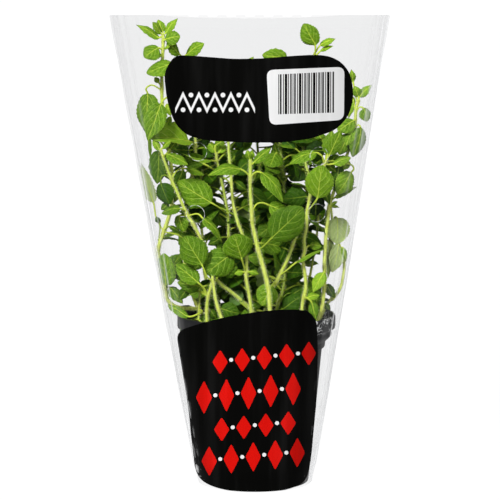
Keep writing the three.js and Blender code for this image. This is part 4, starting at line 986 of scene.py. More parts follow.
SHOOTS = {
    "rim_arch": Shoot((-31, 8), 2.8, [(-33, 104, 7), (-37.1, 110.5, 6), (-42.4, 111.3, 4), (-48.7, 111.7, 2),
        (-53, 113, 1), (-56.7, 116.8, 0), (-59.1, 120.5, 0), (-62.3, 130.2, -1), (-63.7, 138, -2),
        (-63.6, 145.7, -3), (-60.9, 155.3, -5), (-57.2, 165.5, -7), (-54.2, 176, -9), (-53.2, 190, -11),
        (-55, 210, -13), (-58.3, 229, -14), (-59.7, 245, -14), (-59.6, 262, -14), (-59, 275, -15),
        (-58.7, 286, -15)], [
        Leaf((-60, 276.7), (-61.5, 277, -17), (-70.8, 271, -22), 12, (0, -0.85, 0.5), piece="top"),
        Leaf((-60, 252.2), (-68.8, 248.5, -11), (-69, 222, -8), 17, LEFT_FRONT, piece="hook",
             via=[(-66.2, 253.7, -13), (-69.8, 251.3, -12)]),
        Leaf((-59, 161.2), (-65.3, 179, -4), (-73, 204.5, -6), 10, (0.45, 0.9, -0.1), piece="side",
             via=[(-63.6, 169.2, -4)], arch=-1),
        Leaf((-62.6, 129), (-57.8, 126.5, -8), (-58.9, 146.8, -10), 15, LEFT_FRONT, piece="low", age=0.8),
        Leaf((-59.6, 236), (-56.6, 241.5, -13), (-54.2, 234, -13), 4.5),
        Leaf((-58.7, 286), (-61, 283.5, -15), (-75.8, 291.6, -17), 6.5, UP_FRONT),
        Leaf((-58.7, 286), (-57.6, 286, -15), (-49.5, 295.6, -14), 6.5, (-0.4, -0.75, 0.5)),
        Leaf((-58.7, 286), (-60, 286, -15.5), (-65.4, 293.2, -19), 6, UP_FRONT),
        Leaf((-58.7, 286), (-59, 287, -13), (-62, 294.8, -9), 6),
        Leaf((-58.9, 281), (-57.6, 282.2, -17), (-48, 284.3, -20), 10, (0.1, -0.9, 0.4)),
        Leaf((-60, 252.5), (-61.5, 255, -16), (-64.3, 258.6, -17), 3.5),
        Leaf((-60, 276.7), (-58, 276.6, -15), (-54.4, 278, -17), 4, UP_FRONT),
        Leaf((-60, 276.7), (-60.5, 272, -17), (-66, 274.5, -20), 5, UP_FRONT),
        Leaf((-60.5, 124), (-55.5, 125, -6), (-47, 114.3, -10), 8, UP_FRONT, age=1.5),
        Leaf((-62.6, 130), (-57, 133, -3), (-48.5, 146, -4), 12, age=1.6),
        Leaf((-59, 161.2), (-49.5, 158.3, -12), (-38, 150, -10), 11, age=1.5),
        Leaf((-62.8, 150), (-61.5, 166, -6), (-64, 170.3, -7), 3.5, age=1.8),
        Leaf((-59, 161.2), (-55.5, 164, -10), (-47.5, 159.2, -12), 4, UP_FRONT, age=1.8),
        Leaf((-55.2, 212), (-67.4, 224, -8), (-66.8, 204.5, -7), 6, (-0.9, -0.4, 0), via=[(-60, 217, -14)],
             age=1.4),
        Leaf((-57, 222), (-56.6, 228, -18), (-54, 234, -20), 4.5, UP_FRONT),
        Leaf((-53.6, 197), (-61.2, 211.5, -16), (-63, 191, -20), 12.5, age=1.75),
        Leaf((-53.4, 195), (-59.5, 201, -9), (-55, 193.5, -9), 4, age=1.9),
        Leaf((-60.5, 124), (-52, 134, -8), (-46, 129.5, -8), 5, age=1.8),
        Leaf((-62.6, 130), (-50, 135.5, -9), (-55.8, 128.5, -9), 5, age=1.8),
        Leaf((-53.4, 190), (-49, 187.5, -14), (-52.2, 179, -14), 4.5, age=1.8),
        Leaf((-53.4, 195), (-47, 199.5, -12), (-51, 189, -12), 7.5, age=1.8)]),
    "front_left": Shoot((3, -6), 2.4, [(-1, 108, -9), (-8, 115, -11), (-15, 121, -14), (-25.4, 130, -18),
        (-34.4, 154, -24), (-40.3, 165.5, -27), (-44, 171.5, -28), (-51.5, 188.5, -30), (-54.2, 194.4, -30),
        (-59.3, 208.8, -30), (-60.8, 213.5, -30)], [
        Leaf((-59.3, 208.8), (-57, 210, -34), (-43.3, 203.2, -38), 10, (0, -0.5, 0.85), piece="top"),
        Leaf((-54.2, 194.4), (-60.6, 191.8, -28), (-55, 178, -30), 12.5, LEFT_FRONT, piece="hook",
             via=[(-57.6, 196.6, -28.5), (-60.4, 195.6, -28)], age=2.3),
        Leaf((-44, 171.3), (-34.2, 169.3, -32), (-21.6, 153.4, -30), 9, (0.5, -0.5, 0.7), piece="right",
             via=[(-37.1, 171.9, -31)], age=1.2, arch=2.5),
        Leaf((-45.3, 174), (-48.2, 175.4, -32), (-60.4, 172.4, -29), 9, (0, -0.6, 0.8), piece="left", age=1.5,
             arch=1.5),
        Leaf((-44.2, 171.6), (-48.9, 170.8, -25), (-46, 160.5, -25), 10, LEFT_FRONT, age=1.3),
        Leaf((-40.3, 165.5), (-44.6, 164.6, -19), (-38.6, 158, -19), 4.6, age=1.8),
        Leaf((-45.3, 174), (-55.5, 179, -24), (-60.5, 174.5, -24), 5, age=1.6),
        Leaf((-59.3, 208.8), (-54.8, 213, -22), (-50.5, 218.5, -22), 5, age=1.2),
        Leaf((-60.8, 213.5), (-61.3, 212.8, -30), (-65.6, 219, -29), 5, UP_FRONT),
        Leaf((-60.8, 213.5), (-59.6, 213.8, -31), (-54, 218.6, -33), 5, UP_FRONT),
        Leaf((-54, 194.4), (-45, 200.9, -26), (-33, 196.8, -23), 9, (0, -0.4, 0.9),
             via=[(-51.5, 198.6, -28), (-48, 201, -27)])]),
    "back_left": Shoot((-34, 16), 2.2, [(-37.6, 111.9, 15), (-41.9, 123.3, 14), (-45.4, 135, 13),
        (-45.8, 150, 11), (-45.4, 165, 8), (-43, 185, 6), (-39.3, 203, 4), (-38.5, 215, 2), (-40, 235, -1),
        (-44.8, 260, -6), (-46.6, 272, -8)], [
        Leaf((-38.6, 217.5), (-42.5, 218, -13), (-69.4, 220.2, -28), 20, UP_FRONT, piece="broad", age=0.1,
             arch=2, fold=0.6),
        Leaf((-45, 261), (-52, 267, -22), (-69.4, 261, -26), 13.5, UP_FRONT, piece="upper"),
        Leaf((-40.3, 238), (-60.2, 242, -29), (-69, 218.5, -32), 13.5, piece="lower",
             via=[(-50, 245.5, -22), (-54.5, 246.2, -26), (-57.8, 245.2, -28)], fold=0.2),
        Leaf((-38.6, 213), (-42.5, 212.5, 2), (-52.5, 213, 2), 7, age=1.9),
        Leaf((-46.6, 272), (-48.5, 273, -10), (-56.6, 280, -15), 8.5, (0.3, -0.8, 0.5)),
        Leaf((-46.6, 272), (-44.5, 272.5, -10), (-33, 279.8, -14), 10, (-0.2, -0.8, 0.6), arch=1.5),
        Leaf((-38.6, 213), (-43, 217, 8), (-29, 213.5, 8), 13, age=2.8)], pairs=(150, 205, 27, 15, 0.6)),
    "mid_left": Shoot((-4, 10), 2.2, [(-6.2, 107.5, 8), (-12.6, 114.6, 6), (-18, 125, 2), (-18, 140, -4),
        (-17.7, 158, -8), (-18.2, 173, -10), (-19.5, 180, -11), (-21.5, 190, -12), (-23.5, 198, -13),
        (-25.2, 207, -14), (-25.5, 211, -14)], [
        Leaf((-25, 206), (-28.5, 206, -19), (-47.3, 210.6, -26), 9, (0, -0.15, 1), piece="wavy", arch=-1),
        Leaf((-18.2, 173.2), (-28.5, 179, -23), (-50.3, 192.5, -24), 18, piece="broad",
             via=[(-24, 176.2, -19)]),
        Leaf((-17.7, 152), (-16, 147, -23.5), (-32.3, 133.6, -29), 18.5, piece="hanging",
             via=[(-16.4, 151, -18)], age=1.5),
        Leaf((-25.5, 211), (-26, 211, -13), (-30, 217, -9), 6, UP_FRONT),
        Leaf((-25.4, 209), (-26, 215.5, -15), (-19.8, 219.6, -15), 5, age=1),
        Leaf((-25, 206), (-18.5, 212.5, -10), (-23.5, 208, -10), 4.5, age=1.6),
        Leaf((-17.7, 157), (-22, 157, -11), (-31, 152, -13), 6, age=1.8),
        Leaf((-25.5, 211), (-24, 211, -13), (-19.5, 216, -8), 6, UP_FRONT)]),
    "middle": Shoot((-3, -18), 2.2, [(-3.6, 112, -18), (-4.8, 121, -18.5), (-6.7, 132, -20), (-6.2, 142, -21),
        (-8.8, 158.3, -22), (-11.7, 166, -22), (-13.8, 173.7, -21), (-15, 180, -20), (-16.3, 198.3, -17),
        (-17.6, 213.5, -13), (-17, 235, -8), (-12, 252, -5), (-8.5, 262, -4)], [
        Leaf((-6.6, 136), (-9.4, 143.3, -27), (-14.3, 159, -33), 19.5, piece="broad", age=1.3),
        Leaf((-6.7, 135), (-8.5, 134.8, -21), (-14.2, 133.8, -23), 5.5, UP_FRONT),
        Leaf((-6.7, 135), (-4.8, 135, -21), (1.6, 133.4, -22), 4.5, UP_FRONT),
        Leaf((-13.8, 173.7), (-9, 176, -14), (2, 180, -8), 12, UP_FRONT),
        Leaf((-8.5, 262), (-7, 264, -6), (-1.8, 271.6, -10), 5, UP_FRONT),
        Leaf((-15.8, 192), (-13.5, 192.3, -13), (-5.5, 186.5, -13), 5, age=1.8),
        Leaf((-6.5, 131), (-5, 135.5, -15), (-14.5, 130.5, -15), 6, age=1.8)], pairs=(222, 262, 19, 16, 0.2)),
    "front": Shoot((9, -28), 2.9, [(8.6, 110.3, -29), (8.2, 119, -30), (7.3, 125.3, -31), (5.9, 131.8, -32),
        (4.2, 138.2, -33), (1.4, 148, -34), (-1.4, 160, -35), (-2.6, 166, -36), (-3, 172.4, -37),
        (-3.9, 187, -38), (-3.9, 194.4, -39), (-3.9, 200, -39), (-3.8, 206, -39)], [
        Leaf((-3.8, 204), (-1.8, 204.6, -40), (9.4, 214, -42), 7.5, UP_FRONT, piece="top"),
        Leaf((-3.9, 195), (-9.8, 200.3, -41), (-31, 196.4, -45), 11, (0, -0.6, 0.8), piece="left",
             via=[(-6.6, 198.4, -40)], arch=3.5),
        Leaf((-3.9, 195), (3.2, 198.2, -43), (16.8, 179.5, -47), 13, (0.5, -0.6, 0.6), piece="right",
             via=[(-0.7, 198.5, -41)], arch=3),
        Leaf((-3, 172.6), (8, 177.6, -34), (22, 170.5, -32), 13, UP_FRONT, piece="arched",
             via=[(0.1, 178.2, -37), (4, 179, -35)]),
        Leaf((1.4, 148.2), (9.5, 156.4, -39), (29.8, 176, -42), 21, piece="broad", via=[(6.5, 153.2, -37)],
             age=1.65),
        Leaf((-3.9, 194), (0.8, 199.8, -30), (-2.2, 192.5, -30), 5, age=1.5),
        Leaf((-2.8, 168), (1.8, 170.8, -26), (-2.4, 164.8, -26), 5.5, age=1.9),
        Leaf((-3.8, 206), (-4.3, 206.5, -39), (-5.9, 212.6, -40), 4.5),
        Leaf((-3.8, 206), (-3.4, 207, -38), (-2.6, 212.8, -35), 4)]),
    "right_long": Shoot((6, -12), 2.2, [(6.2, 110, -13), (8, 118, -15), (10.7, 125.3, -16), (12.9, 128.8, -17),
        (15.2, 133.5, -18), (19.7, 142.5, -19), (24.3, 155.3, -19), (26.2, 160, -18), (30, 168, -14),
        (33, 178, -8), (33, 195, -4), (30, 210, 0), (29.2, 219, 2), (31, 240, 0), (35, 262, -4),
        (36.8, 274, -6)], [
        Leaf((15.2, 133.7), (25.5, 141, -27), (43.2, 149.6, -30), 8, (0, -0.2, 1), piece="edge_on",
             via=[(20, 136.5, -23)]),
        Leaf((15.6, 134.3), (19.5, 134.8, -12), (31.4, 134.2, -9), 14, piece="shaded", age=2),
        Leaf((22.8, 151.5), (20, 153.5, -14), (13.4, 138.5, -12), 11.5, piece="inner", age=2.4),
        Leaf((12.3, 128), (10, 126.4, -21), (3.2, 113, -24), 14, piece="round"),
        Leaf((36.8, 272), (37, 278.5, -9), (29.6, 292.2, -12), 12, piece="top"),
        Leaf((36.8, 273), (40, 278.5, -7), (49.8, 282.8, -9), 5.5, (-0.1, -0.8, 0.6)),
        Leaf((36.8, 272), (40.2, 275, -7), (48.4, 278.3, -8), 4.5, (0, -0.6, 0.8))],
        pairs=(186, 262, 24, 17, 1.1)),
    "right_front": Shoot((28, -18), 2.4, [(29.6, 114.8, -19), (31.5, 124.5, -20), (31.1, 132.5, -21),
        (29.6, 143, -22), (30.8, 148.7, -23), (30.3, 155.3, -24), (32, 163.4, -25), (32.3, 173.5, -26),
        (34, 183, -27), (38, 194, -29), (43, 203, -31), (44.3, 206.5, -31)], [
        Leaf((44.3, 206), (46.2, 209.5, -33), (53.5, 225.3, -37), 10, piece="tip"),
        Leaf((43, 203.5), (38.2, 210.8, -36), (20.6, 203.6, -38), 11, (0, -0.55, 0.8), piece="arched",
             via=[(41.6, 208.6, -34)], arch=2.5),
        Leaf((32.3, 173.7), (38.6, 182, -35), (41.5, 203, -40), 18, piece="broad", via=[(36, 178, -32)],
             age=0.35),
        Leaf((43, 203.2), (60.2, 198.6, -22), (51.2, 184.4, -24), 12.5, RIGHT_FRONT, piece="looped",
             via=[(50, 203.7, -27), (56, 204.2, -24), (60.6, 203, -22), (61.7, 200.5, -22)], age=0.6),
        Leaf((44.3, 206.5), (45, 209.5, -29), (47.8, 225.5, -27), 9),
        Leaf((43.6, 205), (48.6, 203.9, -30), (59.8, 208, -28), 8, UP_FRONT),
        Leaf((30.8, 148.9), (33.5, 151.8, -19), (41.5, 151.2, -19), 7, UP_FRONT),
        Leaf((34, 183), (38, 184.5, -14), (37.5, 170.5, -14), 11.5, age=3),
        Leaf((43, 203.5), (43.5, 212, -20), (31, 212.5, -18), 13, age=2.8),
        Leaf((33.5, 181), (31.5, 183, -18), (17, 181.5, -16), 14, age=2),
        Leaf((43.6, 205), (52, 202.5, -22), (49.5, 186, -20), 8, age=1.8),
        Leaf((44, 205.5), (46, 203.5, -26), (51.8, 209.8, -24), 7, UP_FRONT, age=1.7),
        Leaf((34, 183), (42, 189.5, -20), (46.8, 177.5, -18), 6, age=1.7),
        Leaf((43, 203.2), (44, 204.5, -24), (50.5, 198.5, -22), 5.5, age=1.2),
        Leaf((42.6, 202.4), (41.6, 207.4, -18), (36, 202.6, -16), 5.5, age=1.9),
        Leaf((44.3, 206), (43.5, 216.5, -12), (37.5, 224.5, -12), 6.5, age=1.3),
        Leaf((44.3, 206), (58.8, 205, -20), (54.2, 200, -20), 4.5),
        Leaf((30.4, 119), (32, 118.3, -23), (40.3, 119.8, -22), 6, UP_FRONT),
        Leaf((30.2, 117.5), (35.2, 115.4, -25), (38.2, 104, -27), 6.5, via=[(33, 117.6, -24)], age=1.5)]),
    "right_edge": Shoot((36.5, -16), 2.6, [(39, 102.7, -16), (41.8, 112, -16), (43.3, 126, -16),
        (43.5, 135, -15), (43.3, 140.7, -14), (43.8, 150, -12), (44.4, 160, -10), (45.6, 170, -8),
        (46.2, 177.3, -7), (48.4, 184, -6), (52, 195, -6), (57, 208.5, -8), (60.2, 217.3, -9), (62, 222, -9),
        (62.5, 227.4, -9), (62.9, 238, -8), (64.7, 244.5, -8)], [
        Leaf((62.8, 236.5), (67.5, 239, -10), (70, 230.6, -11), 9, RIGHT_FRONT, piece="drooping",
             via=[(65.4, 239.8, -9.3)]),
        Leaf((62.5, 227.4), (65.8, 227, -10), (60.8, 208.2, -14), 13, (0.6, -0.8, 0.1), piece="pressed",
             via=[(64.4, 228.6, -9)], age=1.2, arch=2),
        Leaf((43.5, 137.5), (43, 134.6, -20), (36, 121.6, -24), 8.5, (0, -0.75, 0.65), piece="hanging",
             age=-0.4),
        Leaf((62.4, 227), (61.3, 226, -12), (56.7, 215.2, -16), 8, LEFT_FRONT),
        Leaf((62.7, 231), (61.6, 231.4, -11), (51.5, 224.4, -16), 11, (-0.3, -0.9, 0.2)),
        Leaf((64.7, 244.5), (64.9, 246, -8), (72.7, 253.8, -9), 6, (-0.2, -0.8, 0.5)),
        Leaf((64.7, 244.5), (64.4, 246, -8), (62, 253, -10), 6),
        Leaf((64.3, 243), (61, 255.5, -6), (59.8, 263.5, -8), 4.5),
        Leaf((47, 179.5), (49.6, 182.3, -8), (63.8, 189.4, -12), 6, (0, -0.6, 0.8)),
        Leaf((46.2, 175), (47.6, 176.5, -8), (53, 176, -9), 2.5, UP_FRONT),
        Leaf((62, 222), (57.8, 222, -12), (52.3, 209.5, -12), 9.5, age=0.9),
        Leaf((62.8, 236), (60, 247, -6), (58.3, 232.5, -8), 6.5, age=0.6),
        Leaf((41.8, 112.3), (43.3, 114.4, -12), (47.3, 110.2, -11), 4, age=1.8),
        Leaf((43.3, 125.5), (44.6, 126.5, -11), (50, 118, -10), 6, age=1.8)]),
    "right_arch": Shoot((38, 10), 2.2, [(41, 106, 8), (45.6, 115.3, 3), (49.1, 118, 0), (52.6, 122.7, -2),
        (54.9, 127.9, -3), (55.8, 133, -4), (56, 137, -4), (55.7, 143, -4), (54.3, 147.2, -4),
        (52.5, 152.4, -3), (50.2, 159.4, -1), (48.5, 166.4, 1), (47.9, 171, 2), (47.3, 175.7, 3)], [
        Leaf((48.5, 167), (51, 169.4, -4), (51.6, 152.8, -4.5), 15.5, (-0.25, 0.95, -0.1), piece="pressed",
             via=[(49.8, 169.8, -1)], age=0.5, arch=-1),
        Leaf((53, 151.5), (52.2, 152, -8), (48, 134.5, -10), 11, (-0.45, 0.9, -0.1), age=0.6, arch=-1),
        Leaf((49, 118.3), (47.5, 119.5, -3), (47, 126, -5), 5, RIGHT_FRONT),
        Leaf((47.3, 175.7), (47.5, 177, 4), (51.5, 180, 4), 3, UP_FRONT),
        Leaf((48.5, 166.4), (46.6, 167.5, 0), (47.6, 152, -1), 5),
        Leaf((52.5, 152.4), (47.5, 155.5, -3), (45.6, 130.5, -4), 7, (0, 1, 0), age=0.6),
        Leaf((53.6, 149.5), (54.8, 150.5, -8), (57.2, 141, -8), 4, RIGHT_FRONT, age=0.6)]),
    "short_left": Shoot((-31, -20), 2.4, [(-31.8, 108.7, -21), (-31.5, 114, -22), (-30.7, 119.5, -23),
        (-28.9, 126, -24), (-27, 134, -23.5), (-25.5, 141, -21)], [
        Leaf((-30.7, 119.6), (-37, 127.7, -27), (-51.6, 139.6, -26), 12, (0, -0.85, 0.5), piece="broad",
             via=[(-33.4, 124.3, -25)], age=1.3, fold=0.15),
        Leaf((-30.7, 120.5), (-35.5, 125, -20), (-50.5, 128.2, -20), 10, age=1.5),
        Leaf((-30.7, 119.6), (-36, 122.4, -18), (-45.6, 118.2, -17), 6, UP),
        Leaf((-30.7, 119.6), (-43.5, 125, -14), (-49.5, 116.8, -14), 6.5, age=1.8),
        Leaf((-31.7, 110), (-29.7, 110.5, -19), (-25.3, 104.5, -18), 4.5, age=1.8)]),
    "cut_left": Shoot((-21.5, -28), 2.5, [(-22.3, 104.4, -28), (-24.9, 112.5, -29), (-26.5, 119.5, -30),
        (-27.6, 127.5, -31), (-28.1, 132.2, -31)], [
        Leaf((-27.8, 128.5), (-34.7, 139.2, -33), (-46, 157.8, -34), 18, piece="broad", via=[(-31, 131, -32)],
             age=1.45),
        Leaf((-24.4, 111), (-22.5, 111, -27), (-11, 108, -27), 11, age=1.8),
        Leaf((-27.6, 128.3), (-22.5, 134.5, -24), (-12, 138, -22), 11, age=1.7)]),
    "mid_back": Shoot((11, -2), 2, [(12.9, 110.7, -5), (16.3, 121, -6), (18, 129.6, -5), (18.5, 150, 0),
        (17.5, 175, 6), (17, 193, 9), (15.5, 210, 11), (12, 235, 12), (10, 258, 10), (9, 267, 9)], [
        Leaf((14.5, 115.5), (16, 117.6, -8), (22.4, 121.8, -10), 5, UP),
        Leaf((17.5, 176), (13, 180.5, 3), (-5, 179.5, 1), 9, age=1.9),
        Leaf((9, 267), (18.5, 270.5, 5), (3.5, 272.6, 3), 10.5)], pairs=(190, 262, 23, 18, 0.9)),
    "right_inner": Shoot((33, 6), 1.8, [(33.5, 115, 5), (34, 130.4, 5), (35.3, 138.6, 5), (36.4, 145, 4),
        (38.4, 158, 3), (39.2, 168, 4), (40, 176, 4)], [
        Leaf((34, 128), (33.3, 131, 0), (38.6, 123, -2), 6, age=1.9)], pairs=(150, 165, 22, 11, 1.57)),
    "left_inner": Shoot((-22, 12), 1.9, [(-24, 115, 12), (-30, 135, 9), (-33.6, 154, 4), (-35, 163, 2),
        (-36, 178, 2), (-35.4, 192, 3), (-34.5, 200, 3)], [
        Leaf((-36, 178), (-43, 181, -12), (-30.5, 173, -12), 12.5, age=2.8),
        Leaf((-30.5, 137), (-34, 141.5, 4), (-40.5, 136, 3), 5, age=1.8),
        Leaf((-35, 163), (-42, 173.5, -6), (-31.5, 168.5, -6), 8.5, age=2.6)], pairs=(150, 205, 22, 15, 1.4)),
    "left_low": Shoot((-37, -8), 1.6, [(-36.6, 112, -9), (-36.2, 122.6, -10), (-37, 131, -10)], [
        Leaf((-36.6, 112), (-43, 106, -18), (-59.4, 114.3, -14), 6, UP_FRONT, piece="outward",
             via=[(-34.6, 109.4, -13), (-37.6, 107.6, -16)], age=1.2),
        Leaf((-37, 131), (-37.5, 132, -10), (-42, 137, -12), 5, UP_FRONT)]),
    "back_middle": Shoot((15, 20), 2.1, [(16, 130, 23), (17, 170, 23), (17.4, 193, 21), (16.8, 201, 20)], [
        Leaf((16.8, 200), (16, 201, 17), (11, 217, 13), 10),
        Leaf((17, 199), (15.5, 198.7, 16), (3, 210.5, 12), 12, UP_FRONT),
        Leaf((16.8, 201), (17.5, 202, 20), (20.5, 217, 18), 8)], pairs=(140, 195, 26, 17, 0.5)),
    "rear_left": Shoot((-14, 30), 2.2, [(-16, 140, 34), (-20, 180, 38), (-24, 214, 40)],
        pairs=(130, 222, 23, 19, 0.1)),
    "rear": Shoot((8, 38), 2.2, [(7, 150, 42), (3, 190, 46), (0, 222, 47)],
        pairs=(135, 232, 24, 19, 1.2)),
    "rear_right": Shoot((25, 24), 2.2, [(26, 140, 30), (31, 180, 34), (37, 222, 32)],
        pairs=(130, 232, 25, 18, 0.8)),
    "rear_far_left": Shoot((-29, 26), 2.1, [(-34, 140, 30), (-42, 180, 34), (-50, 214, 30)],
        pairs=(130, 222, 22, 18, 1.8)),
}
print("shoots:", len(SHOOTS), "leaves in the table:", sum(len(s.leaves) for s in SHOOTS.values()))

# %% Stem lines
LINE_STEP = 2.5
ROOTED, UPRIGHT = 4, 3  # how far a stem goes on down into the mix, and rises straight out of it
STEM_TAPER = 0.34       # the share of its thickness that a stem loses on its way up
STEM_GAP = 0.3          # from the film to a stem's side


def stem_line(shoot):
    x, y = shoot.foot
    start = [(x, y, SOIL_HEIGHT - ROOTED), (x, y, SOIL_HEIGHT + UPRIGHT)]
    line = Route(start + [placed(p) for p in shoot.line]).evenly(LINE_STEP)
    return np.array([inside_film(p, shoot.thick / 2 + STEM_GAP) for p in line])


def stem_radius(shoot, share):
    return shoot.thick / 2 * (1 - STEM_TAPER * share)


def at_height(line, z):
    """The point of a stem's line that is nearest to a height."""
    return line[int(np.argmin(abs(line[:, 2] - z)))]


def node_on(line, at):
    """Where on the stem a leaf's stalk grows from: the nearest point as the eye sees it."""
    seen = [math.dist(drawn(p), at) for p in line]
    i = int(np.argmin(seen))
    along = unit(line[min(i + 1, len(line) - 1)] - line[max(i - 1, 0)])
    return {"point": line[i], "share": i / (len(line) - 1), "along": along}


LINES = {name: stem_line(shoot) for name, shoot in SHOOTS.items()}
print("longest shoot in mm:", round(max(len(line) for line in LINES.values()) * LINE_STEP))

# %% Pairs on the hidden stretches
# Hidden pairs are old leaves, a little darkened as painted shade.
PAIR_AGE_AND_SHADE = 1.4


def outwards(angle):
    return np.array((math.cos(angle), math.sin(angle), 0))


def rise(height):
    return np.array((0, 0, height))


def vary(k):
    """A number from 0 to 1 that looks random and is the same each time."""
    return math.sin(k * 12.9898) * 43758.5453 % 1


def paired_leaves(shoot, line):
    """Opposite leaves up a stem, each pair a quarter turn from the one below."""
    if not shoot.pairs:
        return
    lowest, highest, spacing, size, turn = shoot.pairs
    for k, z in enumerate(np.arange(lowest, highest + 0.01, spacing)):
        point = at_height(line, z)
        for side in (0, 1):
            chance = vary(lowest + turn * 10 + 2 * k + side)
            angle = turn + (k / 2 + side) * math.pi + 0.5 * (chance - 0.5)
            out = outwards(angle)
            long = size * (0.75 + 0.5 * chance) * (1 - 0.35 * (z - lowest) / (highest - lowest + 1))
            base = point + out * 0.4 * long + rise(0.3 * long)
            tip = base + out * 0.95 * long + rise((0.35 - 0.6 * chance) * long)
            yield Leaf(drawn(point), with_depth(base), with_depth(tip), 0.66 * long,
                       (0.25 * out[0], 0.25 * out[1], 1), age=PAIR_AGE_AND_SHADE, arch=0.12 * long)


print("shoots with hidden pairs:", sum(bool(shoot.pairs) for shoot in SHOOTS.values()))

# %% [markdown]
# ## Leaf finish
# An oregano leaf is soft and matt. Its upper side is a middle green that is paler along the midrib and
# the side veins, and mottled between them. Its underside is grey-green with raised veins, and young
# leaves are yellower. Each leaf mesh carries `leaf_map` (along, across, half its width) and `leaf_tone`
# (age and shade, a random number, 1 on the underside; from 1.1 up a leaf is old and darkened as painted shade).
# The veins are a formula on that map: a fold in `along` minus a share of `across` repeats up the blade
# and sweeps towards its tip. The stalk and the midrib keep the stem's lime green, and the painted shade darkens
# them too.

# %% Leaf finish
VEINS, VEIN_LEAN, VEIN_SWEEP = 4, 0.36, 0.24
LIME = (0.560, 0.680, 0.070)

leaf_material, nodes = new_material("oregano_leaf")
along, across, half_mm = nodes.attribute("leaf_map")
age, chance, under = nodes.attribute("leaf_tone")
place = nodes.object_place()
across = abs(across)
rib = (across * half_mm).smooth(0.42, 0.12) * (along * -0.75 + 1)
phase = (along - across * VEIN_LEAN - across * across * VEIN_SWEEP) * VEINS
bulge = abs(phase.math("FRACT") - 0.5)
vein = bulge.smooth(0.42, 0.49) * across.smooth(1.15, 0.3) * phase.smooth(-1.6, -0.4)
edge = across.smooth(0.9, 1.0)
stalk = along.smooth(0.03, 0.0)
mottle = nodes.noise(place, 520, 4)
cells = {"Vector": place, "Scale": 900.0}
net = nodes.add("ShaderNodeTexVoronoi", {"feature": "DISTANCE_TO_EDGE"}, cells, "Distance").smooth(0.16, 0.0)
lines = vein * 0.9 + net * 0.3 + edge * 0.4
old_green = nodes.mix(mottle.smooth(0.35, 0.7), (0.070, 0.180, 0.002), (0.130, 0.275, 0.004))
young_green = nodes.mix(mottle.smooth(0.35, 0.7), (0.165, 0.330, 0.008), (0.250, 0.430, 0.016))
upper = nodes.mix((age + (chance - 0.5) * 0.5).smooth(0.0, 1.0), young_green, old_green)
# From an age of 1.1 up, a leaf's colour is darkened towards this green: painted shade.
painted_shade_green = nodes.mix(mottle, (0.014, 0.052, 0.0004), (0.036, 0.108, 0.0010))
# An age of 3 is painted as a leaf in the deepest shade, nearly black.
painted_shade_green = nodes.mix(age.smooth(2.5, 3.0), painted_shade_green, (0.0010, 0.0090, 0.0004))
shaded = age.smooth(1.1, 2.0)
upper = nodes.mix(shaded, upper, painted_shade_green)
upper = nodes.mix(lines * (age.smooth(2.2, 1.0) * 0.94 + 0.06), upper, (0.360, 0.520, 0.070))
lower = nodes.mix(lines, (0.340, 0.440, 0.150), (0.500, 0.590, 0.250))
lower = nodes.mix(shaded, lower, nodes.mix(lines, (0.030, 0.105, 0.010), (0.110, 0.220, 0.030)))
# Stalks and midribs of leaves in painted shade are darkened too.
rib_green = nodes.mix(age.smooth(1.1, 2.2) * 0.8, LIME, (0.090, 0.190, 0.006))
blade = nodes.mix(rib.math("MAXIMUM", stalk) * 0.85, nodes.mix(under, upper, lower), rib_green)
relief = (bulge * -0.4 - net * 0.12 + mottle * 0.6 - rib * 0.2) * (1 - under * 2)
set_surface(nodes, principled(nodes, {
    "Base Color": blade, "Roughness": mottle * 0.16 + 0.42,
    "Subsurface Weight": 0.12, "Subsurface Radius": (0.6 * MM, 1.0 * MM, 0.2 * MM), "Subsurface Scale": 1.0,
    "Specular IOR Level": 0.1, "Normal": bump(nodes, relief, 0.8)}))
print("finish:", leaf_material.name)

# %% [markdown]
# ## Leaf shape
# A leaf is a skin over rings along one route: out of the stem, along the stalk and up the midrib. On
# the stalk a ring is round. On the blade it is flat, egg-shaped, toothed at its edge, grooved along the
# midrib and quilted between the same side veins that the finish colours. In between the two are blended.

# %% Leaf outline
PETIOLE = 0.58                          # radius of the stalk
TEETH, TOOTH = 11, 0.075                # along one side, and their depth as a share of the half width
JOIN_DEPTH = 0.7                        # how far below its node a stalk starts inside the stem
LEAF_GAP, SKIN_GAP = 0.9, 0.35          # from the film to a blade's middle, and to its skin
HALF_THICK, GROOVE_WIDTH, GROOVE = 0.16, 0.5, 0.22      # of a blade, and of the groove down its midrib
QUILT, WAVE, CURL = 0.035, 0.055, 0.10  # heights on a blade as shares of its half width
FINE, COARSE, COARSEST = (50, 15), (20, 9), (13, 7)     # rows and columns of a blade


def blade_share(t, roundness):
    """Half the blade's width at t along its midrib, as a share of its widest: egg-shaped with a short
    point, or nearly round."""
    egg = math.sin(math.pi * min(1, t) ** (0.70 + 0.18 * roundness)) ** (0.85 - 0.25 * roundness)
    return egg * (1 - (0.34 - 0.22 * roundness) * max(0, (t - 0.62) / 0.38) ** 1.2)


def stretch_across(columns):
    """Places across a blade from -1 to 1, closer together at its edges."""
    return np.sin(np.linspace(-math.pi / 2, math.pi / 2, columns)) * 0.6 + np.linspace(-1, 1, columns) * 0.4


def rows_along(rows):
    """Places up a blade from 0 to 1, closer together at both ends."""
    for k in range(rows):
        u = k / (rows - 1)
        yield 0.55 * u + 0.45 * (0.5 - 0.5 * math.cos(math.pi * u))


print("width share at a third:", round(blade_share(1 / 3, 0), 2), "to", round(blade_share(1 / 3, 1), 2))

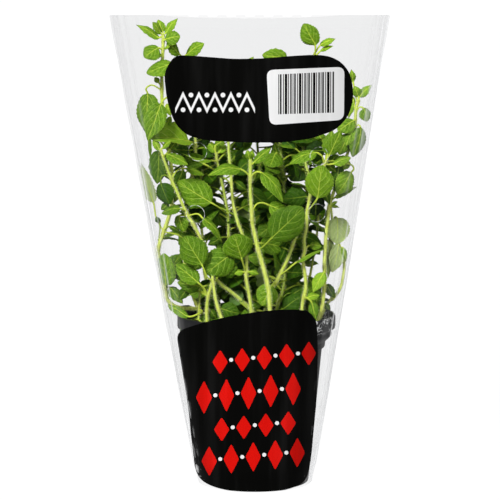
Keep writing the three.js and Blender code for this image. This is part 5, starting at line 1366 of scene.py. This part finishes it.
# %% Leaves in one mesh
class LeafBatch:
    """Many leaves gathered into one mesh."""

    def __init__(self):
        self.points, self.faces, self.maps, self.tones = [], [], [], []

    def add(self, leaf, node, rows, columns, age, chance):
        points, maps, under = leaf_shape(leaf, node, rows, columns, chance)
        size = 2 * columns
        self.faces += tube_faces(len(points) // size, size, len(self.points))
        self.points += points
        self.maps += maps
        self.tones += [(age, chance, u) for u in under]

    def made(self, name, slot, *replaced):
        piece = add_mesh(name, self.points, self.faces, leaf_material)
        for label, values in (("leaf_map", self.maps), ("leaf_tone", self.tones)):
            layer = piece.data.attributes.new(label, "FLOAT_VECTOR", "POINT")
            layer.data.foreach_set("vector", np.array(values, np.float32).ravel())
        face_outwards(piece.data)
        return hand_over(piece, slot, *replaced)


print("leaf batches ready")

# %% Rings of a leaf
def leaf_shape(leaf, node, rows, columns, chance):
    """Rings from the stem's middle out along the stalk and the blade. A ring holds the upper side from
    left to right, then the lower side back again."""
    base, tip, face = placed(leaf.base), placed(leaf.tip), unit(leaf.face)
    long = np.linalg.norm(tip - base)
    middle = (base + tip) / 2 + face * leaf.arch
    via = [placed(p) for p in leaf.via]
    route = Route([node["point"] - node["along"] * JOIN_DEPTH, *via, base, middle, tip])
    blade_from = (len(via) + 1) / (len(via) + 3)
    across = stretch_across(columns)
    stalk_rows = max(4, rows // 4)
    shares = [(blade_from * k / stalk_rows, None) for k in range(stalk_rows)]
    shares += [(blade_from + (1 - blade_from) * t, t) for t in rows_along(rows)]
    rings, carried = [], face
    for share, t in reversed(shares):
        centre, along = route.at(min(share, 0.99999))
        centre = inside_film(centre, LEAF_GAP)
        source = face if t is not None else carried
        normal = unit(source - along * np.dot(source, along))
        carried = normal
        side = np.cross(along, normal)
        stalk = PETIOLE * (0.75 + 0.25 * min(1, share / blade_from)) * (1 if t is None else max(0.12, 1 - t))
        rings.append(leaf_ring(leaf, t, across, long, chance, stalk, centre, side, normal))
    rings.reverse()
    points = [p for ring in rings for p in ring[0]]
    maps = [m for ring in rings for m in ring[1]]
    under = ([0.0] * columns + [1.0] * columns) * len(rings)
    return points, maps, under


def blade_height(leaf, s, t, half, chance):
    """How far a blade stands off flat at a place across and along: folded, quilted, waved and curled."""
    phase = VEINS * (t - VEIN_LEAN * abs(s) - VEIN_SWEEP * s * s)
    quilt = math.cos(math.pi * phase) ** 2 * abs(s) ** 0.7 * (1 - s ** 4) * min(1, half / 4)
    wave = math.sin(9 * t + 5 * s + 7 * chance) * s * s * half
    fold = leaf.fold * abs(s) ** 1.3 * half
    return fold + quilt * QUILT * (leaf.width / 2) + wave * WAVE - CURL * half * s ** 4


def leaf_ring(leaf, t, across, long, chance, stalk, centre, side, normal):
    """One ring: a round stalk, a flat blade, or a blend of the two where they meet."""
    widest = leaf.width / 2
    t_blade = 0 if t is None else t
    blend = 0 if t is None else min(1, t / 0.06) ** 0.7
    notch = TOOTH * min(1, 4.5 / widest)
    tooth = 1 + notch * math.sin(2 * math.pi * TEETH * t_blade + 6 * chance) * min(1, 6 * t_blade)
    roundness = min(1, max(0, (2 * widest / long - 0.45) / 0.3))
    half = widest * blade_share(t_blade, roundness) * tooth
    points, maps = [], []
    for lower in (0, 1):
        for s in (across if not lower else across[::-1]):
            angle = math.pi * (1 - s) / 2 * (-1 if lower else 1)
            round_side, round_up = stalk * math.cos(angle), stalk * math.sin(angle)
            height = blade_height(leaf, s, t_blade, half, chance)
            groove = math.exp(-(s * max(half, 0.1) / GROOVE_WIDTH) ** 2)
            thick = HALF_THICK * (1 - 0.75 * s ** 4)
            if lower:
                height -= thick + groove * stalk * 0.9
            else:
                height += thick - groove * GROOVE * blend
            flat_side = s * half
            x = round_side + (flat_side - round_side) * blend
            z = round_up + (height - round_up) * blend
            points.append(inside_film(centre + side * x + normal * z, SKIN_GAP))
            maps.append((t_blade, s * max(blend, 0.05), max(half, 0.3)))
    return points, maps


print("a ring of the finest leaves has", 2 * len(stretch_across(FINE[1])), "points")

# %% [markdown]
# ## Leaves that fill the plant
# Between the shoots a pot of oregano is full of leaves, most of them in shade, which their colour paints. A
# rule places them:
# walk up each inner stem, and at every few millimetres let a leaf hang out to a new side. Each turns
# its upper side outwards and up, as leaves do to reach the light, with some chance in every number.
# A few windows stay open, where one looks right through the plant. An outer stem gets one leaf at most.

# %% Filling leaves
FILLED = {"back_left": 0.6, "mid_left": 0.5, "middle": 0.3, "right_long": 0.5, "mid_back": 1.6,
          "right_inner": 1.1, "left_inner": 1.1, "back_middle": 2.0, "rear_left": 1.8, "rear": 1.8,
          "rear_right": 1.8, "rear_far_left": 0.9}       # how densely
FILL_STEP, FILL_LOWEST, FILL_HIGHEST = 3, 104, 240
# Filling leaves are darkened as painted shade by their ages from 1.4 up.
FILL_SIDES, FILL_SIZES, FILL_AGE_AND_SHADE = (-50, 47), (15, 23), (1.4, 2.2)
WINDOWS = [(-32, 158.5, 4.5), (36.5, 138, 4.5), (31.5, 140, 3), (-36, 136.5, 5), (28, 191, 0.5),
           (0, 215.5, 3), (-18.5, 193, -2), (-56, 154, 5), (-49, 144, 4), (50, 140, 4)]   # across, up, radius
GOLDEN_ANGLE = 2.4


def filling_leaves(name, line):
    """Leaves up an inner stem, whose upper sides look outwards."""
    step = FILL_STEP / FILLED[name] if name in FILLED else FILL_HIGHEST
    for k, z in enumerate(np.arange(FILL_LOWEST, min(FILL_HIGHEST, line[-1][2]), step)):
        point = at_height(line, z)
        angle = GOLDEN_ANGLE * k + random.uniform(-0.5, 0.5) + len(name)
        out = outwards(angle)
        if point[1] < -4:
            out[1] = abs(out[1])
        long = random.uniform(*FILL_SIZES)
        base = point + out * random.uniform(0.35, 0.6) * long + rise(random.uniform(0, 0.3) * long)
        tip = base + out * random.uniform(0.5, 0.9) * long + rise(random.uniform(-0.7, 0.45) * long)
        blade = [drawn(base + (tip - base) * share) for share in (0.15, 0.5, 0.85)]
        clear = all(math.dist(spot, (x, z)) > radius + 0.25 * long
                    for spot in blade for x, z, radius in WINDOWS)
        if not (clear and FILL_SIDES[0] < drawn(tip)[0] < FILL_SIDES[1]):
            continue
        reach = np.array((point[0], point[1], 0)) / 60
        front = np.array((0, -1 if out[1] < 0.4 else 1, 0))
        face = out * 0.35 + reach * 0.5 + front * 0.7 + rise(random.uniform(0.2, 0.9))
        yield Leaf(drawn(point), with_depth(base), with_depth(tip), random.uniform(0.6, 0.8) * long,
                   tuple(face), arch=random.uniform(0, 0.12) * long)


print("stems to fill:", len(FILLED), "windows kept open:", len(WINDOWS))

# %% [markdown]
# ## Growing the leaves
# The large leaves in front are pieces of their own, with fine rows so that the quilting shows. The
# small ones share one mesh for each shoot and are coarser. Where the table gives no age, it comes from
# the leaf's size: the smallest ones sit at a shoot's tip and are the youngest.

# %% Leaves
random.seed(11)


def age_and_shade_of(leaf):
    """The age and painted shade in the table, or an age that follows from the leaf's width."""
    return min(1.0, max(0.0, (leaf.width - 1.5) / 9)) if leaf.age is None else leaf.age


leaf_total = 0
for name, shoot in SHOOTS.items():
    line = LINES[name]
    small = LeafBatch()
    for leaf in [*shoot.leaves, *paired_leaves(shoot, line)]:
        node, chance = node_on(line, leaf.at), random.random()
        leaf_total += 1
        if leaf.piece:
            own = LeafBatch()
            own.add(leaf, node, *FINE, age_and_shade_of(leaf), chance)
            node_name = f"{name}_leaf_{leaf.piece}"
            own.made(node_name + "_detail", "leaf", node_name)
        else:
            small.add(leaf, node, *COARSE, age_and_shade_of(leaf), chance)
    for leaf in filling_leaves(name, line):
        small.add(leaf, node_on(line, leaf.at), *COARSEST, random.uniform(*FILL_AGE_AND_SHADE), random.random())
        leaf_total += 1
    if small.points:
        small.made(f"{name}_small_leaves", "leaf")
print("leaves:", leaf_total)

# %% [markdown]
# ## Stems
# A stem is a curve with a thickness, which is what Curve to Mesh makes in Geometry Nodes. The line goes
# in as a chain of edges whose points carry the thickness, so the tree can sweep a ring along it. Oregano
# stems are covered in fine pale hairs: the tree scatters points on the swept stem and stands a tiny
# three-sided cone on each, leaning at random, and joins them to it.

# %% Stem finishes
stem_material, nodes = new_material("oregano_stem")
share, joint, _ = nodes.attribute("stem_tone")
place = nodes.object_place()
ridges = nodes.add("ShaderNodeVectorMath", {"operation": "MULTIPLY"}, {0: place, 1: (900, 900, 130)})
ridged = nodes.noise(ridges, 1.0, 3)
lime = nodes.mix(ridged.smooth(0.3, 0.7), (0.510, 0.625, 0.060), (0.750, 0.830, 0.175))
side, depth, _ = nodes.split(place)
# Stems in the thick of the plant are darker: painted shade.
inner = depth.smooth(-0.030, 0.004) * abs(side).smooth(0.039, 0.027)
lime = nodes.mix(inner * 0.75, lime, (0.230, 0.380, 0.018))
lime = nodes.mix(share.smooth(0.55, 1.0) * 0.4, lime, (0.430, 0.580, 0.080))
ruddy = nodes.mix(joint * 0.25, lime, (0.400, 0.330, 0.060))
set_surface(nodes, principled(nodes, {
    "Base Color": ruddy, "Roughness": ridged * 0.2 + 0.4, "Subsurface Weight": 0.15,
    "Subsurface Radius": (0.8 * MM, 0.9 * MM, 0.2 * MM), "Subsurface Scale": 1.0,
    "Normal": bump(nodes, ridged, 0.25)}))

hair_material, nodes = new_material("stem_hair")
pale = nodes.noise(nodes.object_place(), 700, 1)
set_surface(nodes, principled(nodes, {
    "Base Color": nodes.mix(pale, (0.74, 0.82, 0.32), (0.90, 0.94, 0.60)), "Roughness": 0.5}))
print("finishes:", stem_material.name, hair_material.name)

# %% Hairy stem tree
nodes, given, stem_ids = geometry_tree("hairy_stem", {
    "Line": "Geometry", "Sides": "Int", "Hairs per square metre": "Float", "Hair length": "Float",
    "Hair radius": "Float", "Seed": "Int", "Stem finish": "Material", "Hair finish": "Material"}, "Stem")
thick = nodes.add("GeometryNodeInputNamedAttribute", {"data_type": "FLOAT"}, {"Name": "thick"}, "Attribute")
path = nodes.add("GeometryNodeMeshToCurve", {}, {"Mesh": given["Line"]})
ring = nodes.add("GeometryNodeCurvePrimitiveCircle", {}, {"Resolution": given["Sides"], "Radius": 1.0}, "Curve")
swept = nodes.add("GeometryNodeCurveToMesh", {}, {
    "Curve": path, "Profile Curve": ring, "Scale": thick, "Fill Caps": True})
swept = nodes.add("GeometryNodeSetShadeSmooth", {}, {"Geometry": swept})
spread = nodes.add("GeometryNodeDistributePointsOnFaces", {}, {
    "Mesh": swept, "Density": given["Hairs per square metre"], "Seed": given["Seed"]})
stand = Sock(nodes, spread.socket.node.outputs["Rotation"])
lean = random_turn(nodes, (-0.7, -0.7, 0), (0.7, 0.7, 3), 8)
stand = nodes.add("FunctionNodeRotateRotation", {"rotation_space": "LOCAL"},
                  {"Rotation": stand, "Rotate By": lean})
hair = nodes.add("GeometryNodeMeshCone", {}, {
    "Vertices": 3, "Radius Top": 0.0, "Radius Bottom": given["Hair radius"], "Depth": given["Hair length"]})
lengths = random_vector(nodes, (0.8, 0.8, 0.4), (1, 1, 1), 9)
hairs = nodes.add("GeometryNodeInstanceOnPoints", {}, {
    "Points": spread, "Instance": hair, "Rotation": stand, "Scale": lengths})
swept = nodes.add("GeometryNodeSetMaterial", {}, {"Geometry": swept, "Material": given["Stem finish"]})
joined = nodes.add("GeometryNodeJoinGeometry", {}, {"Geometry": realised(nodes, hairs, given["Hair finish"])})
nodes.tree.links.new(swept.socket, joined.socket.node.inputs[0])
end_tree(nodes, joined)
print("stem tree inputs:", list(stem_ids))

# %% Stems
NODE_REACH, NODE_SWELL = 1.6, 0.22      # a stem is thicker within this far of a pair of leaves
STEM_SIDES, HAIR_DENSITY, HAIR_LENGTH, HAIR_RADIUS = 10, 2.2e6, 1.8, 0.065


def stem_edges(name, shoot, line):
    """The stem's middle as a chain of edges, whose points carry thickness and tone."""
    mesh = bpy.data.meshes.new(name)
    mesh.from_pydata((line * MM).tolist(), [(i, i + 1) for i in range(len(line) - 1)], [])
    joints = [node_on(line, leaf.at)["share"] for leaf in [*shoot.leaves, *paired_leaves(shoot, line)]]
    reach = NODE_REACH / (LINE_STEP * len(line))
    thick, tone = [], []
    for i in range(len(line)):
        share = i / (len(line) - 1)
        near = max([math.exp(-((share - j) / reach) ** 2) for j in joints] + [0])
        thick.append(stem_radius(shoot, share) * (1 + NODE_SWELL * near) * MM)
        tone.append((share, near, vary(i)))
    mesh.attributes.new("thick", "FLOAT", "POINT").data.foreach_set("value", thick)
    tones = mesh.attributes.new("stem_tone", "FLOAT_VECTOR", "POINT")
    tones.data.foreach_set("vector", np.array(tone, np.float32).ravel())
    return put_in_scene(name, mesh)


for count, (name, shoot) in enumerate(SHOOTS.items()):
    chain = stem_edges(name + "_chain", shoot, LINES[name])
    stem = grow(chain, nodes, stem_ids, {
        "Sides": STEM_SIDES, "Hairs per square metre": HAIR_DENSITY, "Hair length": HAIR_LENGTH * MM,
        "Hair radius": HAIR_RADIUS * MM, "Seed": count, "Stem finish": stem_material,
        "Hair finish": hair_material}, name + "_stem_detail")
    hand_over(stem, "stem", name + "_stem")
print("stems:", len(SHOOTS))

# %% [markdown]
# ## The finished visual
# The finished visual's pieces are counted, with their triangles and the largest piece, and printed.

# %% Pieces and triangles
pieces = [o for o in SCENE.objects if o.type == "MESH" and not o.hide_render]
triangles = {o.name: sum(len(p.vertices) - 2 for p in o.data.polygons) for o in pieces}
largest = max(triangles, key=triangles.get)
print("pieces:", len(pieces), "triangles:", sum(triangles.values()), "largest:", largest, triangles[largest])
